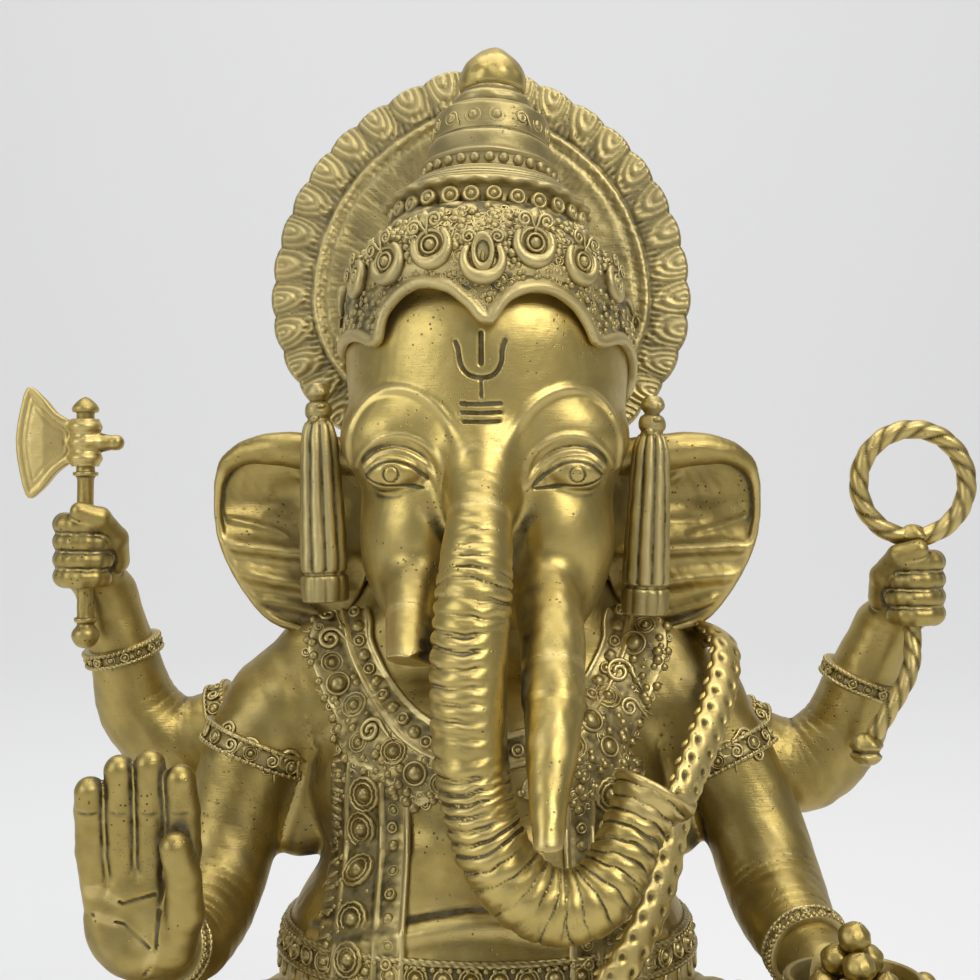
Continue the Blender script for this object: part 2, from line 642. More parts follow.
IRIS_AT, IRIS_R = (25.3, 253.2), 2.1
TRIDENT_X = -1.6
TRIDENT = [[-7, 289], [-6.2, 286.6], [-5.6, 283], [-3.6, 280.2], [0, 279.2], [3.6, 280.2],
           [5.5, 283.4], [5.8, 286.8], [6.6, 289.4]]
FOREHEAD_BARS = [(272.2, 5.4), (269.9, 5.2), (267.5, 4.8)]


def both_sides(line):
    p = np.asarray(line, float)
    return [p + CENTRE, p * MIRROR + CENTRE]


brow_lines = [on_face(p, lift=-0.3) for p in both_sides(BROW)]
lid_folds = [on_face(p, lift=-0.1) for p in both_sides(LID_FOLD)]
lid_ridges = [on_face(p, lift=0.1) for p in both_sides(LID)]
eye_tops = [on_face(p, lift=0.1) for p in both_sides(EYE_TOP)]
eye_lows = [on_face(p, lift=-0.1) for p in both_sides(EYE_LOW)]
turn20 = np.linspace(0, 2 * math.pi, 21)
iris = np.column_stack([IRIS_R * np.cos(turn20), IRIS_R * 1.12 * np.sin(turn20)])
irises = [on_face(iris + [side * IRIS_AT[0] - 0.8, IRIS_AT[1]], 1, 0.1) for side in (-1, 1)]
trident = on_face(np.asarray(TRIDENT) + [TRIDENT_X, 0])
trident_stem = on_face([[TRIDENT_X, 279], [TRIDENT_X, 276.5], [TRIDENT_X + 0.1, 274]], 3)
trident_spear = on_face([[TRIDENT_X, 291.4], [TRIDENT_X, 287], [TRIDENT_X, 283]], 3)
stub_tip = stub_route.c[-1]
CUT_WAY, BEVEL_WAY = unit([-0.12, -0.3, -0.95]), unit([0.62, -0.68, -0.4])    # the stub's sawn end


def face_field(P):
    """The face with its brows, lids, eyes and the trident on the forehead."""
    d = face_mass(P)
    for line in brow_lines:
        d = add_line(d, P, line, 0.85, 1.8)
    for line in lid_folds:
        d = add_line(d, P, line, 0.5, 1.2)
    for line in lid_ridges:
        d = add_line(d, P, line, 0.65, 0.9)
    for line in eye_tops:
        d = cut_line(d, P, line, 0.55, 0.4)
    for line in eye_lows:
        d = cut_line(d, P, line, 0.42, 0.4)
    for line in irises:
        d = cut_line(d, P, line, 0.42, 0.25)
    d = cut_line(d, P, trident, 0.68)
    d = cut_line(d, P, trident_stem, 0.5)
    d = cut_line(d, P, trident_spear, 0.75)
    return d + 0.06 * ripple(P, 9, 4) + 0.025 * ripple(P, 3.2, 8)


def stub_field(P):
    """The right tusk, sawn off short with a bevelled end."""
    d = stub_route.field(P)
    d = smax(d, (P - stub_tip) @ CUT_WAY + 1.6, 0.5)
    d = smax(d, (P - stub_tip - [3.4, -1.0, 0]) @ BEVEL_WAY + 0.6, 0.4)
    return d + 0.05 * ripple(P, 4, 3)


def tusk_field(P):
    d = tusk_route.field(P, lambda q, s: 0.12 * ripple(q, 5, 5) + 0.25 * ripple(q, 16, 6)
                         - 0.35 * (np.interp(s, [0, 44, 46, 80], [0, 0, 1, 1])))
    return smax(d, 163.2 - P[:, 2], 0.5)       # the blunt tip


def trunk_field(P):
    """The trunk, with the finger and the opening at its tip."""
    d = trunk_route.field(P, trunk_relief)
    tip, way = trunk_route.c[-1], unit(trunk_route.c[-1] - trunk_route.c[-4])
    m = np.linalg.norm(P - tip, axis=1) < 26
    q, e = P[m], d[m]
    e = smax(e, (q - tip) @ way - 1.4, 1.0)
    e = smin(e, rod(q, tip + np.array([6.5, 0, -3]), tip + np.array([10.5, -0.5, -4.2]), 3.4, 2.2), 4)
    d[m] = smax(e, -rod(q, tip - 3 * way, tip + 9 * way, 5.6, 6.4), 1.2)
    return d


CUT_AT = 26.0      # how far down the trunk its casting is joined to the head's
OVERLAP = 0.7      # how far one casting reaches into the next, so that no gap shows


def face_and_trunk(P):
    root = np.clip((P[:, 2] - 226) / 20, 0, 1)     # the trunk grows out of the face more softly high up
    return smin(face_field(P), trunk_field(P), 3.0 + 7.0 * root)


bars = [front_of(face_and_trunk, smooth([[TRIDENT_X - w, z], [TRIDENT_X, z - 0.15],
                                         [TRIDENT_X + w, z + 0.1]], 3), -75)[0]
        for z, w in FOREHEAD_BARS]


def whole_face(P):
    """Face, trunk, tusk and stub in one, with the three bars below the trident."""
    d = smin(face_and_trunk(P), tusk_field(P), 3.4)
    d = smin(d, stub_field(P), 3.0)
    for line in bars:
        d = cut_line(d, P, line, 0.6)
    return d


def casting_side(route, start):
    """A field, below zero where a route's own casting is, past its joint with the head."""
    return limited(route, lambda P: side_of(P, route, start), 5.0)


def side_of(P, route, start):
    d, s = route.near(P)
    return np.maximum(start - s, d - np.interp(s, route.s, route.r) - 1.4)


def limited(route, f, pad=4.0):
    """A field worked out only near a route, for speed."""
    def g(P):
        gap = np.linalg.norm(np.maximum(np.maximum(route.lo - P, P - route.hi), 0), axis=1)
        out = gap + pad
        m = gap < pad
        if m.any():
            out[m] = f(P[m])
        return out
    return g


TRUNK_SIDE = casting_side(trunk_route, CUT_AT)
TUSK_SIDE = casting_side(tusk_route, 34.0)
STUB_SIDE = casting_side(stub_route, 24.0)


def head_solid(P):
    """The head's own casting: the whole face without the three castings joined to it."""
    d = whole_face(P)
    for side in (TRUNK_SIDE, TUSK_SIDE, STUB_SIDE):
        d = np.maximum(d, -side(P) - OVERLAP)
    return d


trunk_solid = limited(trunk_route, lambda P: np.maximum(whole_face(P), TRUNK_SIDE(P)))
tusk_solid = limited(tusk_route, lambda P: np.maximum(whole_face(P), TUSK_SIDE(P)))
stub_solid = limited(stub_route, lambda P: np.maximum(whole_face(P), STUB_SIDE(P)))

piece("head_casting", mesh_of(head_solid, (-46, -66, 194), (46, 44, 327), 0.5), FACE,
      ["head"])
piece("trunk_casting", mesh_of(trunk_solid, (-16, -80, 132), (58, -30, 246), 0.42), FACE,
      ["trunk"])
piece("left_tusk_casting", mesh_of(tusk_solid, (3, -88, 158), (32, -40, 214), 0.42), FACE,
      ["left_tusk"])
piece("right_tusk_stub_casting", mesh_of(stub_solid, (-32, -62, 194), (-10, -34, 222), 0.42), FACE,
      ["right_tusk_stub"])

# ---------------------------------------------------------------- stamps for cast ornament

def worn(profile):
    """Relief for a turned profile: proud where it bulges, hollow where it dips."""
    p = np.asarray(profile, float)
    before, after = np.vstack([p[:1], p[:-1]]), np.vstack([p[1:], p[-1:]])
    out = np.column_stack([(after - before)[:, 1], -(after - before)[:, 0]])
    bulge = ((p - (before + after) / 2) * unit(out)).sum(1)
    return np.clip(0.5 + 1.6 * bulge / np.maximum(np.linalg.norm(after - before, axis=1), 0.1), 0, 1)


def turned_body(rows, n, seg, wave=None):
    """A turned shape through [radius, height] rows, with n steps to a row."""
    profile = smooth(rows, n)
    return lathe(profile, seg, worn(profile), wave)


def turned_stamp(rows, seg=20, wave=None, n=3):
    """A small turned shape, for stamping."""
    profile = smooth(rows, n)
    profile[:, 0] = np.maximum(profile[:, 0], 0.02)
    return lathe(profile, seg, worn(profile), wave)


BEAD = turned_stamp([[0.9, -0.5], [1.02, 0.0], [0.98, 0.35], [0.75, 0.72], [0.4, 0.93], [0.02, 1.0]], 16)
CUP_BEAD = turned_stamp([[1.0, -0.6], [1.06, 0.1], [0.98, 0.5], [0.78, 0.72], [0.58, 0.6],
                         [0.5, 0.5], [0.42, 0.62], [0.2, 0.84], [0.02, 0.86]], 18)
DISC = turned_stamp([[1.0, -0.3], [1.02, 0.06], [0.94, 0.24], [0.82, 0.26], [0.72, 0.1], [0.62, 0.1],
                     [0.54, 0.28], [0.34, 0.46], [0.02, 0.52]], 24)
ROSETTE = turned_stamp([[1.06, -0.4], [1.06, 0.06], [1.0, 0.2], [0.9, 0.22], [0.82, 0.08], [0.76, 0.06],
                        [0.7, 0.2], [0.62, 0.24], [0.54, 0.1], [0.46, 0.05], [0.4, 0.16], [0.3, 0.34],
                        [0.16, 0.46], [0.02, 0.5]], 30, lambda a, z: 0.035 * np.cos(13 * a) * (z < 0.25))


def coil(turns=1.6, r0=0.95, r1=0.2, thick=0.2, flip=1, tail=1.2):
    """A scroll: a rope that winds inwards, with a tail leading in, lying in the XY plane."""
    a = np.linspace(0, turns * 2 * math.pi, 26)
    r = r0 + (r1 - r0) * (a / a[-1])
    xy = np.column_stack([r * np.cos(a) * flip, r * np.sin(a)])
    lead = np.column_stack([np.full(4, r0 * flip) + np.array([0.5, 0.3, 0.12, 0.03]) * flip * tail,
                            np.array([-1.3, -0.8, -0.4, -0.15]) * tail])
    path = np.column_stack([np.vstack([lead, xy]), np.full(30, thick * 0.45)])
    taper = np.interp(np.arange(30), [0, 4, 22, 29], [0.5, 1, 0.95, 1.1]) * thick
    return sweep(path, taper, 8, (0, 0, 1), relief=lambda S, A: 0.35 + 0.45 * (np.sin(A) > 0.2))


COIL, COIL_LEFT = coil(), coil(flip=-1)
RIGHTWARDS, UPWARDS = np.array([[1.0, 0, 0]]), np.array([[0, 0, 1.0]])     # ways for stamps to lie


def dimmed(mesh, k):
    """The same mesh with all but its proudest places taken as hollow ground."""
    return mesh[0], mesh[1], mesh[2] * (k + (1 - k) * np.clip((mesh[2] - 0.55) / 0.4, 0, 1))


def joined(*shapes):
    """Several meshes as one."""
    heap = Heap()
    for s in shapes:
        heap.add(*s)
    return heap.parts()


def placed(shape, at=(0, 0, 0), scale=1.0):
    """A mesh scaled and then moved."""
    return shape[0] * np.asarray(scale, float) + np.asarray(at, float), shape[1], shape[2]


SPIRAL_BOSS = joined(placed(COIL, (0, 0, 0.1)), placed(BEAD, (0, 0, -0.06), 0.24),
                     placed(turned_stamp([[1.1, -0.5], [1.12, -0.05], [0.9, 0.04], [0.02, 0.05]], 20)))
CRESCENT_ARC = np.linspace(-math.pi * 1.25, math.pi * 0.25, 26)
CRESCENT = sweep([[math.cos(a), math.sin(a), 0.28] for a in CRESCENT_ARC],
                 np.interp(np.linspace(0, 1, 26), [0, .5, 1], [0.16, 0.44, 0.16]), 12,
                 relief=lambda S, A: 0.35 + 0.5 * np.clip(np.sin(A), 0, 1))
LEAF_TIP = sweep([[0, 0.7, 0], [0, 1.2, 0.1], [0.05, 1.7, 0.2], [0.2, 2.1, 0.15]],
                 np.array([0.62, 0.55, 0.36, 0.1]), 12, (0, 0, 1), flat=0.5)
TIARA_BUTTON = [[1.0, -0.9], [0.98, 0.2], [0.84, 0.42], [0.72, 0.4], [0.66, 0.28], [0.58, 0.3],
                [0.52, 0.5], [0.42, 0.52], [0.36, 0.34], [0.28, 0.5], [0.16, 0.64], [0.02, 0.68]]
TIARA_ROSETTE = joined(CRESCENT, LEAF_TIP, turned_stamp(TIARA_BUTTON, 26),
                       placed(COIL, (-0.62, 1.2, 0.4), 0.46), placed(COIL_LEFT, (0.62, 1.2, 0.4), 0.46))


# ---------------------------------------------------------------- crown, its beads and finial

def turn(deg, axis):
    """The matrix that turns by deg about axis 0, 1 or 2."""
    c, s = math.cos(math.radians(deg)), math.sin(math.radians(deg))
    i, j = (axis + 1) % 3, (axis + 2) % 3
    m = np.eye(3)
    m[i, i] = m[j, j] = c
    m[i, j], m[j, i] = -s, s
    return m


CROWN_AT, CROWN_TURN = np.array([-1, -1, 296.0]), turn(2, 1) @ turn(-10, 0)
HALO_AT, HALO_TURN = np.array([-2, 34, 309.0]), turn(84, 0)


def crown_place(mesh):
    return mesh[0] @ CROWN_TURN.T + CROWN_AT, mesh[1], mesh[2]


def ring_of(shape, n, r, z, scale, rise=0.0, jitter=0.0, start=0.0):
    """A shape stamped round a turned body, its top facing outwards (rise tips it upwards)."""
    heap = Heap()
    a = start + np.arange(n) * 2 * math.pi / n
    jit = rng.normal(size=(n, 3)) * jitter
    out = np.column_stack([np.cos(a), np.sin(a), np.full(n, rise)])
    at = np.column_stack([r * np.cos(a), r * np.sin(a), np.full(n, z)]) + jit
    side = np.column_stack([-np.sin(a), np.cos(a), np.zeros(n)])
    heap.stamp(shape, at, out + 0.5 * jit, side, scale * (1 + 0.3 * jit[:, 0]), 0.0)
    return heap.parts()


def cast_wave(a, z):
    """The slight unevenness of a hand-cast turned body."""
    return 0.16 * np.sin(3 * a + 0.13 * z) + 0.12 * np.sin(5 * a - 0.21 * z + 1) + 0.07 * np.sin(11 * a + z)


CROWN_ROWS = [[30, 2.0], [39.5, 3.9], [40.2, 9.6], [37, 16.2], [33.6, 21.9], [29.6, 27.0], [28.2, 28.8],
              [27.4, 29.5], [27.5, 31.5], [28.4, 33.4], [30.3, 34.6], [30.6, 35.5], [29.6, 36.5],
              [28.6, 36.9], [28.3, 37.5], [27.2, 38.0], [26.9, 38.8], [25.4, 39.4], [25.2, 40.1],
              [23.4, 41.5], [23, 42.1], [21.2, 42.6], [20.4, 43.2], [20, 44.0], [20, 46.6], [20.4, 47.4],
              [20.6, 48.2], [19.8, 48.9], [19, 49.6], [18.8, 51.0], [18.8, 54.3], [17.6, 55.2],
              [17.1, 56.0], [17.3, 56.9], [17.3, 63.0], [17, 64.0], [15.8, 64.8], [14.4, 66.1],
              [12.2, 67.1], [11.6, 67.6], [11.9, 68.6], [11.8, 70.0], [11, 71.0], [9.6, 71.7], [9, 72.5],
              [8.9, 73.5], [7, 73.8]]
FINIAL_ROWS = [[4, 68.4], [8.6, 72.3], [8.8, 73.6], [9.6, 74.5], [10, 76.0], [10.1, 77.6], [9.7, 79.5],
               [8.9, 81.5], [7.8, 83.2], [6.3, 84.8], [4.6, 86.4], [3.2, 87.4], [1.8, 88.2], [0.02, 88.6]]


def milled(a, z):
    """Turned body: unevenness, a hatched band over the brim and a scalloped brim edge."""
    hatch = 0.22 * np.abs(np.sin(46 * a + 1.2 * z)) * ((z > 39) & (z < 42.4))
    brim = 0.5 * np.cos(26 * a) * np.exp(-((z - 35.3) / 0.9) ** 2)
    return cast_wave(a, z) + hatch + brim


crown_skin = turned_body(CROWN_ROWS, 3, 260, milled)
finial_skin = turned_body(FINIAL_ROWS, 4, 72,
                          lambda a, z: 0.8 * cast_wave(a, z) + 0.12 * np.cos(10 * a) * (z < 79))
piece("crown_casting", crown_place(joined(crown_skin,
                                          ring_of(DISC, 15, 16.7, 59.9, 2.5, 0.08, 0.12, 0.2),
                                          ring_of(SPIRAL_BOSS, 5, 17.0, 59.8, 2.0, 0.08, 0.1, 4.0))),
      DUSTY, ["crown"])
piece("crown_bead_rows", crown_place(joined(ring_of(CUP_BEAD, 28, 28.3, 30.6, 2.5, 0.05, 0.16, 0.06),
                                            ring_of(BEAD, 30, 19.7, 45.4, 1.6, 0.2, 0.08, 0.1))),
      DUSTY, ["crown_beads"])
piece("crown_finial_casting", crown_place(finial_skin), FACE, ["crown_finial"])

# ---------------------------------------------------------------- tiara

# The lower edge of the tiara as [x, z], from the figure's right round to its left
TIARA_EDGE = [[-44.2, 277], [-44.2, 284], [-43.8, 288.6], [-41, 291.9], [-36.5, 292.2], [-31.6, 289.8],
              [-30, 291], [-28.6, 297], [-24.7, 301.8], [-20.4, 304.4], [-16, 305], [-9.9, 303.2],
              [-4.4, 298.8], [-1.6, 295.4], [0.2, 294.4], [1.8, 296], [5, 300.4], [10.2, 303.2],
              [15.6, 303.6], [20, 302.2], [24.6, 299], [28.3, 293.6], [29.6, 290.6], [31.6, 289.8],
              [37.6, 291.6], [41, 289.2], [42.6, 285.4], [43, 277]]
tiara_low = smooth(TIARA_EDGE, 3)


def tiara_limit(x):
    """The height of the tiara's lower edge over each x."""
    keep = tiara_low[(np.abs(tiara_low[:, 0]) < 42.5)]
    order = np.argsort(keep[:, 0])
    return np.interp(x, keep[order, 0], keep[order, 1])


def tiara_body(P):
    """The solid that the tiara covers: the top of the head and the foot of the crown."""
    q = (P - CROWN_AT) @ CROWN_TURN
    radius = np.interp(q[:, 2], [-12, -4, 2, 8, 15, 21, 27, 31],
                       [38, 38.6, 39.6, 40.4, 39.4, 35.6, 31, 27.5])
    band = (np.hypot(q[:, 0], q[:, 1]) - radius) * 0.9
    return smin(skull(P) - 1.6, smax(band, -q[:, 2] - 9, 3.0), 5.0)


def tiara_shell(P):
    """A thick cap over the brow of the head, before its lower edge is trimmed."""
    q = (P - CROWN_AT) @ CROWN_TURN
    d = np.maximum(tiara_body(P), -skull(P) - 4.0)
    return smax(d, q[:, 2] - 31.5, 1.0)


tiara_rim = smooth(even(front_of(lambda P: tiara_body(P) + 0.4, tiara_low, -60, 40)[0], 2.4), 2)


def tiara_field(P):
    """The tiara: the cap cut off along its scalloped edge, with a rolled rim and a rough ground."""
    d = tiara_shell(P)
    front = P[:, 1] < 4
    low = tiara_limit(P[:, 0])
    edge = np.where(front, low, np.maximum(low, 286) - 6 * np.clip((P[:, 1] - 4) / 20, 0, 1))
    d = smax(d, edge - P[:, 2], 0.8)
    d = add_line(d, P, tiara_rim, 1.55, 1.2)
    rough = 0.26 * ripple(P, 4.2, 3) + 0.14 * ripple(P, 2.2, 9)
    return d + rough * np.clip((P[:, 2] - edge - 2.5) / 2, 0, 1) + 0.05 * ripple(P, 5, 2)


tiara_skin = dimmed(mesh_of(tiara_field, (-50, -48, 272), (50, 46, 326), 0.55), 0.6)
tiara_work = Heap()
tiara_work.add(*tiara_skin)
TIARA_SPOTS = [[-14.9, 314.9, 5.0], [-27, 311.4, 4.9], [-36.4, 308.6, 4.4], [-42.2, 304, 4.0],
               [12.5, 315.4, 5.0], [25.4, 311.4, 4.9], [35.6, 307.6, 4.4], [42.2, 303, 4.0]]
TIARA_MIDDLE = [-1.1, 311.6]
spots = np.array(TIARA_SPOTS)
at, out = front_of(tiara_body, spots[:, :2], -60, 30)
tiara_work.stamp(TIARA_ROSETTE, at, out * [1, 1, 0.4], np.array([[1.0, 0, 0.08]]), spots[:, 2] * 1.02, 0.6,
                 turn=np.array([0.2, 0.34, 0.5, 0.6, -0.1, -0.3, -0.45, -0.6]))

# The middle rosette: a long button with a slit, cradled by a crescent and two curls
MIDDLE_BUTTON = [[0.6, -0.5], [0.62, 0.3], [0.5, 0.46], [0.36, 0.4], [0.3, 0.28], [0.02, 0.26]]
middle_rosette = joined(placed(CRESCENT, (0, -0.2, 0)),
                        placed(turned_stamp(MIDDLE_BUTTON, 24), (0, 0.15, 0.1), (1, 1.75, 1)),
                        placed(BEAD, (0, -0.1, 0.3), (0.14, 0.3, 0.3)),
                        placed(COIL, (-0.75, 1.0, 0.1), 0.4), placed(COIL_LEFT, (0.75, 1.0, 0.1), 0.4))
at, out = front_of(tiara_body, [TIARA_MIDDLE], -60, 30)
tiara_work.stamp(middle_rosette, at, out * [1, 1, 0.4], RIGHTWARDS, 5.2, 0.4)

# Small beads and curls between the rosettes and the rim, and on down the sides
grains = []
for x in np.arange(-43, 44, 1.9):
    low, high = tiara_limit(x) + 2.6, 327 - 0.005 * x * x
    for z in np.arange(low, high, 2.1):
        grains.append([x + rng.normal() * 0.45, z + rng.normal() * 0.4])
grains = np.array(grains)
gap = np.linalg.norm(grains[:, None] - np.vstack([spots[:, :2], [TIARA_MIDDLE]])[None], axis=2).min(1)
grains = grains[gap > 4.4]
at, out = front_of(tiara_body, grains, -60, 30)
landed = np.abs(tiara_body(at)) < 0.5
at, out = at[landed], out[landed]
pick = rng.random(len(at))
GRAIN_SHARES = ((BEAD, 0, .55, 0.82), (DISC, .55, .75, 1.25), (COIL, .75, .88, 1.0),
                (COIL_LEFT, .88, 1.01, 1.0))
for shape, lo, hi, size in GRAIN_SHARES:
    m = (pick >= lo) & (pick < hi)
    swell = rng.uniform(0.8, 1.2, m.sum()) * np.where(at[m, 2] > 311, 1.5, 1.05)
    tiara_work.stamp(shape, at[m], out[m], RIGHTWARDS, size * swell, 0.1,
                     turn=rng.uniform(0, 6.28, m.sum()))
piece("tiara_casting", tiara_work.parts(), DUSTY, ["tiara"])

# ---------------------------------------------------------------- halo

LEAVES = 36
HALO_HALF_WIDTH, HALO_RISE, HALO_DROP = 66.0, 72.0, 56.0      # from its middle: sideways, up, down


def halo_r(a):
    """The halo's outline: wide, with a slight point at its top."""
    rise = np.where(np.sin(a) > 0, HALO_RISE, HALO_DROP)
    r = 1 / np.sqrt((np.cos(a) / HALO_HALF_WIDTH) ** 2 + (np.sin(a) / rise) ** 2)
    return r + 4.0 * np.exp(-((np.arctan2(np.sin(a - math.pi / 2), np.cos(a - math.pi / 2))) / 0.28) ** 2)


def halo_height(a, inset, plain):
    """Height over the plate: nested strokes on each leaf, two ridges and a punched field."""
    phase = a * LEAVES / (2 * math.pi) + 0.5
    t = (phase - np.floor(phase)) - 0.5
    lean = t + 0.012 * (inset - 6) + 0.03 * np.sin(phase * 2.4)
    e = np.sqrt((lean / 0.47) ** 2 + ((inset - 2.2) / 10.6) ** 2)
    loops = np.cos(e * (17.0 + 3.0 * np.sin(phase * 1.7)) + 2.0 * np.sin(phase * 2.9))
    leaf = 0.8 * np.clip(1.1 - e, 0, 1) ** 0.5 + 0.24 * loops * (e < 1.08)
    leaf += 0.22 * np.cos(phase * 6.283 * 5) * np.exp(-((inset - 10.5) / 2.0) ** 2)
    leaf *= np.clip((13.0 - inset) / 1.5, 0, 1)
    ridge = 0.9 * np.exp(-((plain - 14.2) / 1.5) ** 2) + 0.4 * np.exp(-((plain - 18.6) / 1.0) ** 2)
    return leaf + ridge - 0.4 * np.exp(-((plain - 12.6) / 0.6) ** 2)


def halo_side(rows, cols, face):
    """One side of the halo, face 1 for its front and -1 for its back: a grid and its relief."""
    a = np.arange(cols) * 2 * math.pi / cols
    edge = halo_r(a) - 1.0 + 1.2 * np.abs(np.cos(a * LEAVES / 2)) ** 0.6
    inset = np.concatenate([np.linspace(0.0, 18, rows * 3 // 4),
                            np.linspace(18.6, 46, rows - rows * 3 // 4)])
    A, I = np.meshgrid(a, inset)
    R = edge[None, :] - I
    h = halo_height(A, I, halo_r(a)[None, :] - R)
    x, y = R * np.cos(A), R * np.sin(A)
    Q = np.stack([x, y, 0 * x], 2).reshape(-1, 3)
    grit = (0.16 * ripple(Q, 2.6, 3, 10) + 0.12 * ripple(Q, 1.5, 5, 10)
            + 0.25 * ripple(Q, 9, 1)).reshape(x.shape)
    h = h + grit * np.where(I > 12.5, 1.0, 0.35)
    round_edge = -1.5 * np.clip(1 - I / 1.3, 0, 1) ** 2
    z = 2.0 + h * (1.0 if face > 0 else 0.6) + round_edge
    relief = np.clip(np.where(I > 13, 0.58, 0.47) + 0.42 * (h - 0.3), 0, 1)
    verts = np.stack([x, y, 2.0 + face * z - (0.4 if face < 0 else 0)], 2)
    return verts, relief


front_side, front_worn = halo_side(66, 900, 1)
back_side, back_worn = halo_side(66, 900, -1)
rings = np.concatenate([front_side[::-1], back_side])
halo_wear = np.concatenate([front_worn[::-1], back_worn])
v, f = capped(rings)
f = [q[:, ::-1] for q in f]
halo_mesh = (v @ HALO_TURN.T + HALO_AT, f, np.concatenate([halo_wear.ravel(), [0.4, 0.4]]))
piece("halo_casting", halo_mesh, DUSTY, ["halo"])

# ---------------------------------------------------------------- ears

EAR_EDGE = [[33, 240], [35, 224], [42, 210], [52, 205.4], [64, 209], [72.5, 219], [78, 230], [80.6, 240],
            [81, 251], [80, 257.4], [75, 262], [66, 265.4], [55, 266], [40, 264], [33, 256]]
EAR_TOP = [[40, -2, 258.6, 5.4], [50, -3, 259.8, 5.6], [60, -3, 261, 5.0], [69, -1.8, 260.4, 3.9],
           [75.8, 0, 257.2, 2.7], [79, 1.4, 251.4, 1.6], [79.6, 2, 241, 1.1], [77.4, 2.4, 231, 1.0],
           [72, 3, 220.4, 0.9], [63.8, 3.4, 211, 0.9], [52, 3.6, 207, 0.9]]
# Ribs that spread over the hollow of the ear: [x, z] starts and ends, width, height
EAR_RIBS = [([40, 229.5], [79, 233], 2.3, 2.4), ([40, 219], [74, 224.5], 2.2, 2.0),
            ([46, 238], [66, 240.5], 1.6, 0.9), ([48, 211.5], [69, 217], 1.9, 1.7),
            ([60, 236], [78, 241], 1.2, 0.8), ([44, 248], [58, 253.5], 1.6, 0.8)]


def inside_line(x, z, line):
    """Signed distance from a closed outline in the X-Z plane (below zero inside)."""
    p = np.asarray(line, float)
    q = np.roll(p, -1, 0)
    best, odd = np.full(len(x), 1e9), np.zeros(len(x), bool)
    for (ax, az), (bx, bz) in zip(p, q):
        ex, ez = bx - ax, bz - az
        t = np.clip(((x - ax) * ex + (z - az) * ez) / max(ex * ex + ez * ez, 1e-9), 0, 1)
        best = np.minimum(best, (x - ax - t * ex) ** 2 + (z - az - t * ez) ** 2)
        cross = ((az > z) != (bz > z)) & (x < ex * (z - az) / (ez if abs(ez) > 1e-9 else 1e-9) + ax)
        odd ^= cross
    return np.where(odd, -1, 1) * np.sqrt(best)


def ear_field(side):
    """The field of an ear: a thin ribbed leaf with a rolled upper rim. Side -1 is the right ear."""
    outline = smooth(EAR_EDGE, 4)
    rim = Route(np.array(EAR_TOP), 4)

    def f(P):
        Q = P * [side, 1, 1]
        x, y, z = Q.T
        swell = 6.0 * np.exp(-((z - 246) / 9) ** 2 - ((x - 61) / 16) ** 2)
        mid = 7.5 - 0.08 * (x - 40) + swell - 1.5 * np.exp(-((z - 226) / 12) ** 2)
        front = mid - 1.6
        for (ax, az), (bx, bz), width, height in EAR_RIBS:
            wander = 0.8 * side * math.sin(ax)
            t = np.clip((x - ax) / (bx - ax), -0.2, 1.2)
            line = az + (bz - az) * t + wander * np.sin(t * 4)
            fade = np.clip((1.15 - np.abs(t * 2 - 1)) / 0.4, 0, 1)
            front = front - height * fade * np.exp(-((z - line) / width) ** 2)
        front = front - 0.22 * ripple(P, 12, 5) - 0.08 * ripple(P, 3.5, 4)
        d = np.maximum(front - y, y - mid - 1.6)
        d = smax(d, inside_line(x, z, outline) + 0.6, 1.0)
        d = smin(d, rim.field(Q, lambda q, s: 0.12 * ripple(q, 6, 3)), 1.6)
        return smax(d, 30 - x, 1.0)
    return f


for side, name, node in ((-1, "right_ear_casting", "right_ear"), (1, "left_ear_casting", "left_ear")):
    lo, hi = (33, -18, 197), (85, 17, 272)
    if side < 0:
        lo, hi = (-85, -18, 197), (-33, 17, 272)
    verts, faces, relief = mesh_of(ear_field(side), lo, hi, 0.5)
    hollow = np.clip((verts[:, 1] - 0.5) / 3, 0, 1)     # behind the rolled rim
    piece(name, (verts, faces, relief * (1 - 0.4 * hollow)), BODY, [node])

# ---------------------------------------------------------------- hanging tassels

def tassel(x, top, seed):
    """A fluted tassel under a turned cap, hung at x with its cap's seat at height top."""
    def flutes(a, z):
        body = (z > -45.5) & (z < -2)
        foot = z <= -45.5
        depth = 1.35 + 0.35 * np.sin(0.18 * z + 2.3 * a + seed)
        deep = np.abs(np.sin(4.5 * a + 0.10 * np.sin(0.21 * z + seed))) ** 0.55
        pleats = np.where(body, (deep - 0.75) * depth, 0)
        scallops = 0.7 * (np.abs(np.sin(5 * a + seed)) ** 0.5 - 0.6)
        return pleats + np.where(foot, scallops, 0) + 0.1 * np.sin(0.7 * z + 3 * a + seed)

    rows = [[1, 9], [2.2, 8.8], [3.2, 7.4], [3.5, 5.8], [2.6, 4.6], [2.2, 3.8], [3.3, 3], [3.9, 1.4],
            [3.8, -0.2], [3.2, -1.2], [3.4, -2], [4.4, -4.4], [5.1, -8], [5.5, -14], [5.9, -22], [6.2, -30],
            [6.4, -38], [6.45, -43], [6.2, -45], [5.6, -45.6], [5.6, -46.2], [6.5, -46.8], [6.7, -49],
            [6.5, -52.6], [6.1, -53.8], [4, -54], [0.02, -54]]
    v, f, r = joined(turned_stamp(rows[::-1], 96, flutes, 5), placed(BEAD, (-0.8, -2.6, -1.5), 1.5),
                     placed(DISC, (1.2, -3.2, 2.2), 1.4), placed(BEAD, (1.5, -2.4, 6), 1.3))
    deep = 0.95 * np.abs(np.sin(4.5 * np.arctan2(v[:, 1], v[:, 0]))) ** 0.7 - 0.05
    fluted = (v[:, 2] > -45) & (v[:, 2] < -3)
    r = np.where(fluted, 0.2 * r + 0.75 * deep, r)
    return v @ turn(2.2 * np.sign(x), 1).T + [x, -9.4, top], f, r


